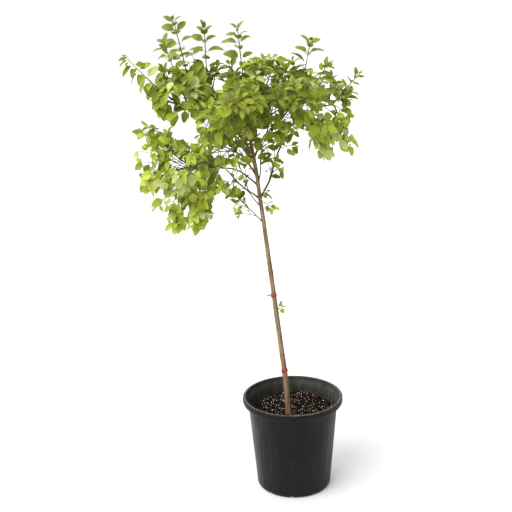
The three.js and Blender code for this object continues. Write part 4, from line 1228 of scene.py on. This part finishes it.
def make_pot():
    """The pot: a turned shell with shallow upright panels, and notches that drain it."""
    pot = turned_shell("nursery_pot", pot_profile(), POT["segments"])
    start_edit()

    def in_panel(facing_out, low):
        def chosen(centre, normal):
            outward = normal.x * centre.x + normal.y * centre.y > 0
            level = abs(normal.z) < 0.5 and low * MM < centre.z < PANEL["high"] * MM
            return level and outward == facing_out and panel_number(centre.x, centre.y) % 2 == 0
        return chosen

    for facing_out, low in ((True, PANEL["low"]), (False, PANEL["inner_low"])):
        select_faces(pot, in_panel(facing_out, low))
        bpy.ops.mesh.inset(thickness=PANEL["edge"] * MM, depth=-PANEL["depth"] * MM)
    end_edit()
    cut_notches(pot)
    smooth(pot, 28)
    finish_piece(pot, [make_pot_plastic()], "pot", "pot")


def cut_notches(pot):
    """Cuts the round-cornered notches out of the pot's foot."""
    cutters = []
    reach = (POT["base"] + NOTCH["beyond"]) * MM
    for i in range(NOTCH["count"]):
        angle = math.radians(NOTCH["first"] + FULL_TURN / NOTCH["count"] * i)
        select_only()
        bpy.ops.mesh.primitive_cube_add(
            size=1, location=(reach * math.cos(angle), reach * math.sin(angle), 0),
            rotation=(0, 0, angle),
            scale=(NOTCH["depth"] * MM, NOTCH["width"] * MM, NOTCH["height"] * 2 * MM))
        bpy.ops.object.transform_apply()
        start_edit("EDGE")
        bpy.ops.mesh.bevel(offset=NOTCH["round"] * MM, segments=3, affect="EDGES")
        end_edit()
        cutters.insert(0, bpy.context.object)
    select_only(*cutters)
    bpy.ops.object.join()
    cutter = bpy.context.object
    boolean = pot.modifiers.new("notches", "BOOLEAN")
    boolean.operation, boolean.object, boolean.solver = "DIFFERENCE", cutter, "EXACT"
    select_only(pot)
    bpy.ops.object.modifier_apply(modifier=boolean.name)
    bpy.data.objects.remove(cutter)


def soil_top(x, y):
    """Height of the mix's surface, heaped at the back and low along the left and front wall."""
    radius = math.hypot(x, y)
    lean = 0.6 - 0.4 * (x * 0.8 + y * 0.6) / max(radius, 1)
    heap = SOIL["heap"] * max(y - SOIL["heap_from"], 0) / SOIL["heap_over"]
    lumps = sum(high * noise.noise(Vector((x, y, place)) / size) for high, size, place in LUMPS)
    return SOIL["level"] + heap - SOIL["fall"] * lean * min(radius / SOIL["reach"], 1)**3 + lumps


def make_soil():
    """The filling of the pot, from its floor to a lumpy top."""
    gap = POT["wall"] + SOIL["clearance"] + PANEL["depth"]

    def inner(high):
        return wall_radius(high) - gap

    bottom, level = POT["floor"] + 0.4, SOIL["level"] - SOIL["below"]
    rings = int(inner(level) / SOIL["ring"])
    profile = [(1, bottom), (inner(bottom) - 8, bottom), (inner(bottom + 9), bottom + 9)]
    profile += [(inner(level * share), level * share) for share in (0.35, 0.7, 1.0)]
    profile += [(mix(inner(level), 1, i / rings), level) for i in range(1, rings + 1)]
    soil = turned_shell("potting_soil", profile, SOIL["segments"])
    for vertex in soil.data.vertices:
        if vertex.co.z > (level - 1) * MM:
            vertex.co.z = soil_top(vertex.co.x / MM, vertex.co.y / MM) * MM
    smooth(soil, 60)
    finish_piece(soil, [make_uneven("potting_mix")], "soil", "soil")


BOX_CORNERS = np.array([(x, y, z) for x in (-1, 1) for y in (-1, 1) for z in (-1, 1)], float) / 2
BOX_FACES = [(0, 1, 3, 2), (4, 6, 7, 5), (0, 4, 5, 1), (2, 3, 7, 6), (0, 2, 6, 4), (1, 5, 7, 3)]


def round_grain():
    """The points and faces of a small twenty-sided grain."""
    mesh = bmesh.new()
    bmesh.ops.create_icosphere(mesh, subdivisions=1, radius=0.5)
    points = np.array([vertex.co[:] for vertex in mesh.verts])
    faces = [tuple(vertex.index for vertex in face.verts) for face in mesh.faces]
    mesh.free()
    return points, faces


def random_turn(draw):
    """A turn by random angles, flatter than it is steep."""
    flat = Matrix.Rotation(draw.between(0, math.tau), 3, "Z")
    tip = Matrix.Rotation(draw.between(-CRUMBS["tip"], CRUMBS["tip"]), 3, "X")
    return np.array(flat @ tip)


def scatter(shape, form, draw):
    """Strews small pieces over the mix, clear of the trunk."""
    corners, faces = shape
    foot = np.array(TRUNK["route"][1][:2], float)
    pile, placed = Pile(), 0
    while placed < form["count"]:
        x, y = CRUMBS["reach"] * draw.anywhere()[:2]
        if math.hypot(x, y) > CRUMBS["reach"] or math.hypot(x - foot[0], y - foot[1]) < CRUMBS["clear"]:
            continue
        size = np.array([draw.between(*limits) for limits in form["sizes"]])
        rough = corners * (1 + CRUMBS["rough"] * np.array([draw.anywhere() for _ in corners]))
        points = (rough * size) @ random_turn(draw).T
        pile.add(points + (x, y, soil_top(x, y) + size[2] * form["sink"]), faces, draw.next())
        placed += 1
    return pile


def make_crumbs():
    """Chips of bark and pale grains that lie in the mix."""
    draw = Draw(SEED["crumbs"])
    for name, material, shape, form in (("bark_chips", "bark_chip", (BOX_CORNERS, BOX_FACES), CHIPS),
                                        ("pale_grains", "pale_grain", round_grain(), GRAINS)):
        piece = scatter(shape, form, draw).make(name, "tone")
        finish_piece(piece, [make_uneven(material)], "soil", "soil")


# Pieces of the plant

def make_limbs(limbs):
    """The trunk and each bough, as a tube with raised bark laid along its own route."""
    trunk_bark, bough_bark = make_bark("trunk_bark"), make_bark("bough_bark")
    for limb in limbs.values():
        trunk = limb.name == "trunk"
        form = TRUNK if trunk else BOUGH
        shares = limb.path.rings(form["ring"])
        piece = straight_tube(limb.name + "_bark", form["sides"], len(shares) - 1)
        lay_along(piece, limb, shares, RIDGE["trunk" if trunk else "bough"],
                  knots_of(limb) if trunk else ())
        smooth(piece, 50)
        finish_piece(piece, [trunk_bark if trunk else bough_bark], "bark", limb.name)


def make_ties(trunk):
    """Two soft ties round the trunk, the upper one with a loose tail to the left."""
    tape, drop = make_uneven("red_tape"), (0, 0, -TAPE["drop"] * MM)
    for name, share, tail in TIES:
        select_only()
        reach = float(trunk.radius(share)) + TAPE["clear"]
        bpy.ops.mesh.primitive_torus_add(major_segments=48, minor_segments=14,
                                         major_radius=reach * MM, minor_radius=TAPE["half"] * MM)
        ring = name_piece(bpy.context.object, name + "_tape")
        start_edit()
        bpy.ops.transform.resize(value=(1, 1, TAPE["flat"]), center_override=(0, 0, 0))
        bpy.ops.mesh.duplicate()
        bpy.ops.transform.resize(value=TAPE["second"], center_override=(0, 0, 0))
        bpy.ops.transform.translate(value=drop)
        bpy.ops.transform.rotate(value=math.radians(TAPE["tilt"]), orient_axis="Y", center_override=drop)
        end_edit()
        if tail:
            add_tail(ring, reach, tail)
        along = Vector(trunk.path.along(share))
        place = Matrix.Translation(Vector(trunk.path.at(share)) * MM)
        ring.data.transform(place @ Vector((0, 0, 1)).rotation_difference(along).to_matrix().to_4x4())
        for vertex in ring.data.vertices:
            wave = noise.noise_vector(vertex.co / (TAPE["ripple_size"] * MM))
            vertex.co += Vector(wave) * TAPE["ripple"] * MM
        smooth(ring, 60)
        finish_piece(ring, [tape], "tie", name)


def add_tail(ring, reach, length):
    """A short loose end of tape, which narrows and drops away from the ring."""
    bpy.ops.mesh.primitive_cube_add(size=1, location=(-(reach + 1) * MM, 0, 0),
                                    scale=(0.002, 0.0014, 0.004))
    tail = bpy.context.object
    bpy.ops.object.transform_apply()
    start_edit()
    select_faces(tail, lambda centre, normal: normal.x < -0.5)
    for _ in range(TAPE["tail_steps"]):
        bpy.ops.mesh.extrude_region_move(
            TRANSFORM_OT_translate={"value": (-length / TAPE["tail_steps"] * MM, 0, -0.0006)})
        bpy.ops.transform.resize(value=(1, 0.9, 0.86))
    end_edit()
    select_only(ring, tail)
    bpy.ops.object.join()


def make_stems(growth):
    """All stems and twigs as one joined piece, and all leaf stalks as another."""
    young_stem = make_young_stem()
    stems, stalks = Pile(), Pile()
    for path, radii, sides, ages in growth.tubes:
        shares = path.rings(STEM["ring"])
        points, faces = tube_arrays(path.at(shares), mix(radii[0], radii[1], shares), sides)
        stems.add(points, faces, np.repeat(mix(ages[0], ages[1], shares), sides))
    radii = LEAF["stalk_radius"] * np.array([1.3, 0.9, 1.0])
    for start, end in growth.stalks:
        points, faces = tube_arrays(bowed_line(start, end, 0.6, 2), radii, 4)
        stalks.add(points, faces, 0.95)
    names = sorted({mass.name for mass in growth.masses})
    for pile, name in ((stems, "stems_and_twigs"), (stalks, "leaf_stalks")):
        piece = pile.make(name, "age")
        smooth(piece, 60)
        finish_piece(piece, [young_stem], "leaf", *names)


def make_foliage(growth):
    """One joined piece of leaves for each shade."""
    for shade in SHADES:
        leaves = [leaf for leaf in growth.leaves if leaf["shade"] == shade]
        piece = make_leaves(f"leaves_{shade}", leaves)
        smooth(piece, 40)
        names = sorted({leaf["mass"] for leaf in leaves})
        finish_piece(piece, make_leaf_materials(shade), "leaf", *names)


# Studio

def make_camera():
    """The camera at the photograph's viewing angle."""
    right, up, forward = VIEW
    camera = bpy.data.objects.new("camera", bpy.data.cameras.new("camera"))
    camera.matrix_world = (Matrix.Translation(CAMERA["place"])
                           @ Matrix((right, up, -forward)).transposed().to_4x4())
    camera.data.sensor_width = CAMERA["sensor"]
    camera.data.lens = CAMERA["sensor"] * CAMERA["focal_px"] / IMAGE_SIDE
    bpy.context.scene.collection.objects.link(camera)
    bpy.context.scene.camera = camera


def make_key_light():
    """The soft key light from above, the left and the front."""
    data = bpy.data.lights.new("key_light", "SUN")
    data.energy, data.angle = KEY["strength"], math.radians(KEY["spread"])
    lamp = bpy.data.objects.new("key_light", data)
    lamp.location = KEY["from"]
    lamp.rotation_euler = Vector(KEY["from"]).to_track_quat("Z", "Y").to_euler()
    bpy.context.scene.collection.objects.link(lamp)


def make_surround():
    """Soft light from all round, white behind the plant and dimmer in front and to the right."""
    world = bpy.data.worlds.new("studio")
    world.use_nodes = True
    tree = Tree(world.node_tree)
    across, back, above = tree.parts(tree.add("TexCoord").outputs["Generated"])
    level = tree.times(tree.remap(back, SURROUND["front_edge"], SURROUND["back_edge"],
                                  SURROUND["front"], SURROUND["back"]),
                       tree.remap(across, -SURROUND["side_edge"], SURROUND["side_edge"],
                                  SURROUND["left"], SURROUND["right"]))
    level = tree.plus(level, tree.remap(above, 0.0, 1.0, 0.0, SURROUND["above"]))
    seen = tree.add("LightPath").outputs["Is Camera Ray"]
    background = world.node_tree.nodes["Background"]
    background.inputs["Color"].default_value = (1, 1, 1, 1)
    world.node_tree.links.new(tree.math("MAXIMUM", level, seen), background.inputs["Strength"])
    bpy.context.scene.world = world


def make_studio():
    """A pale floor, a soft surround and a soft key light."""
    select_only()
    bpy.ops.mesh.primitive_circle_add(vertices=FLOOR["sides"], radius=FLOOR["radius"],
                                      fill_type="NGON", location=(0, 0, -FLOOR["drop"]))
    floor = name_piece(bpy.context.object, "studio_floor")
    material, tree = new_material("pale_floor", linear(246, 246, 245), 0.9)
    tree.wire(Roughness=tree.remap(tree.noise(tree.object_place(), 3.0, 2.0), 0.3, 0.7, 0.85, 0.95))
    floor.data.materials.append(material)
    bpy.context.scene.view_settings.view_transform = "Standard"
    make_surround()
    make_key_light()


def build():
    make_camera()
    make_studio()
    make_mottle_group()
    make_leaf_group()
    make_pot()
    make_soil()
    make_crumbs()
    limbs = lay_out_limbs()
    make_limbs(limbs)
    make_ties(limbs["trunk"])
    growth = Growth(limbs, [Mass(i, row, limbs) for i, row in enumerate(MASSES + SPRIGS)])
    for mass in growth.masses:
        growth.grow_mass(mass)
    make_stems(growth)
    make_foliage(growth)


build()
bpy.context.view_layer.update()
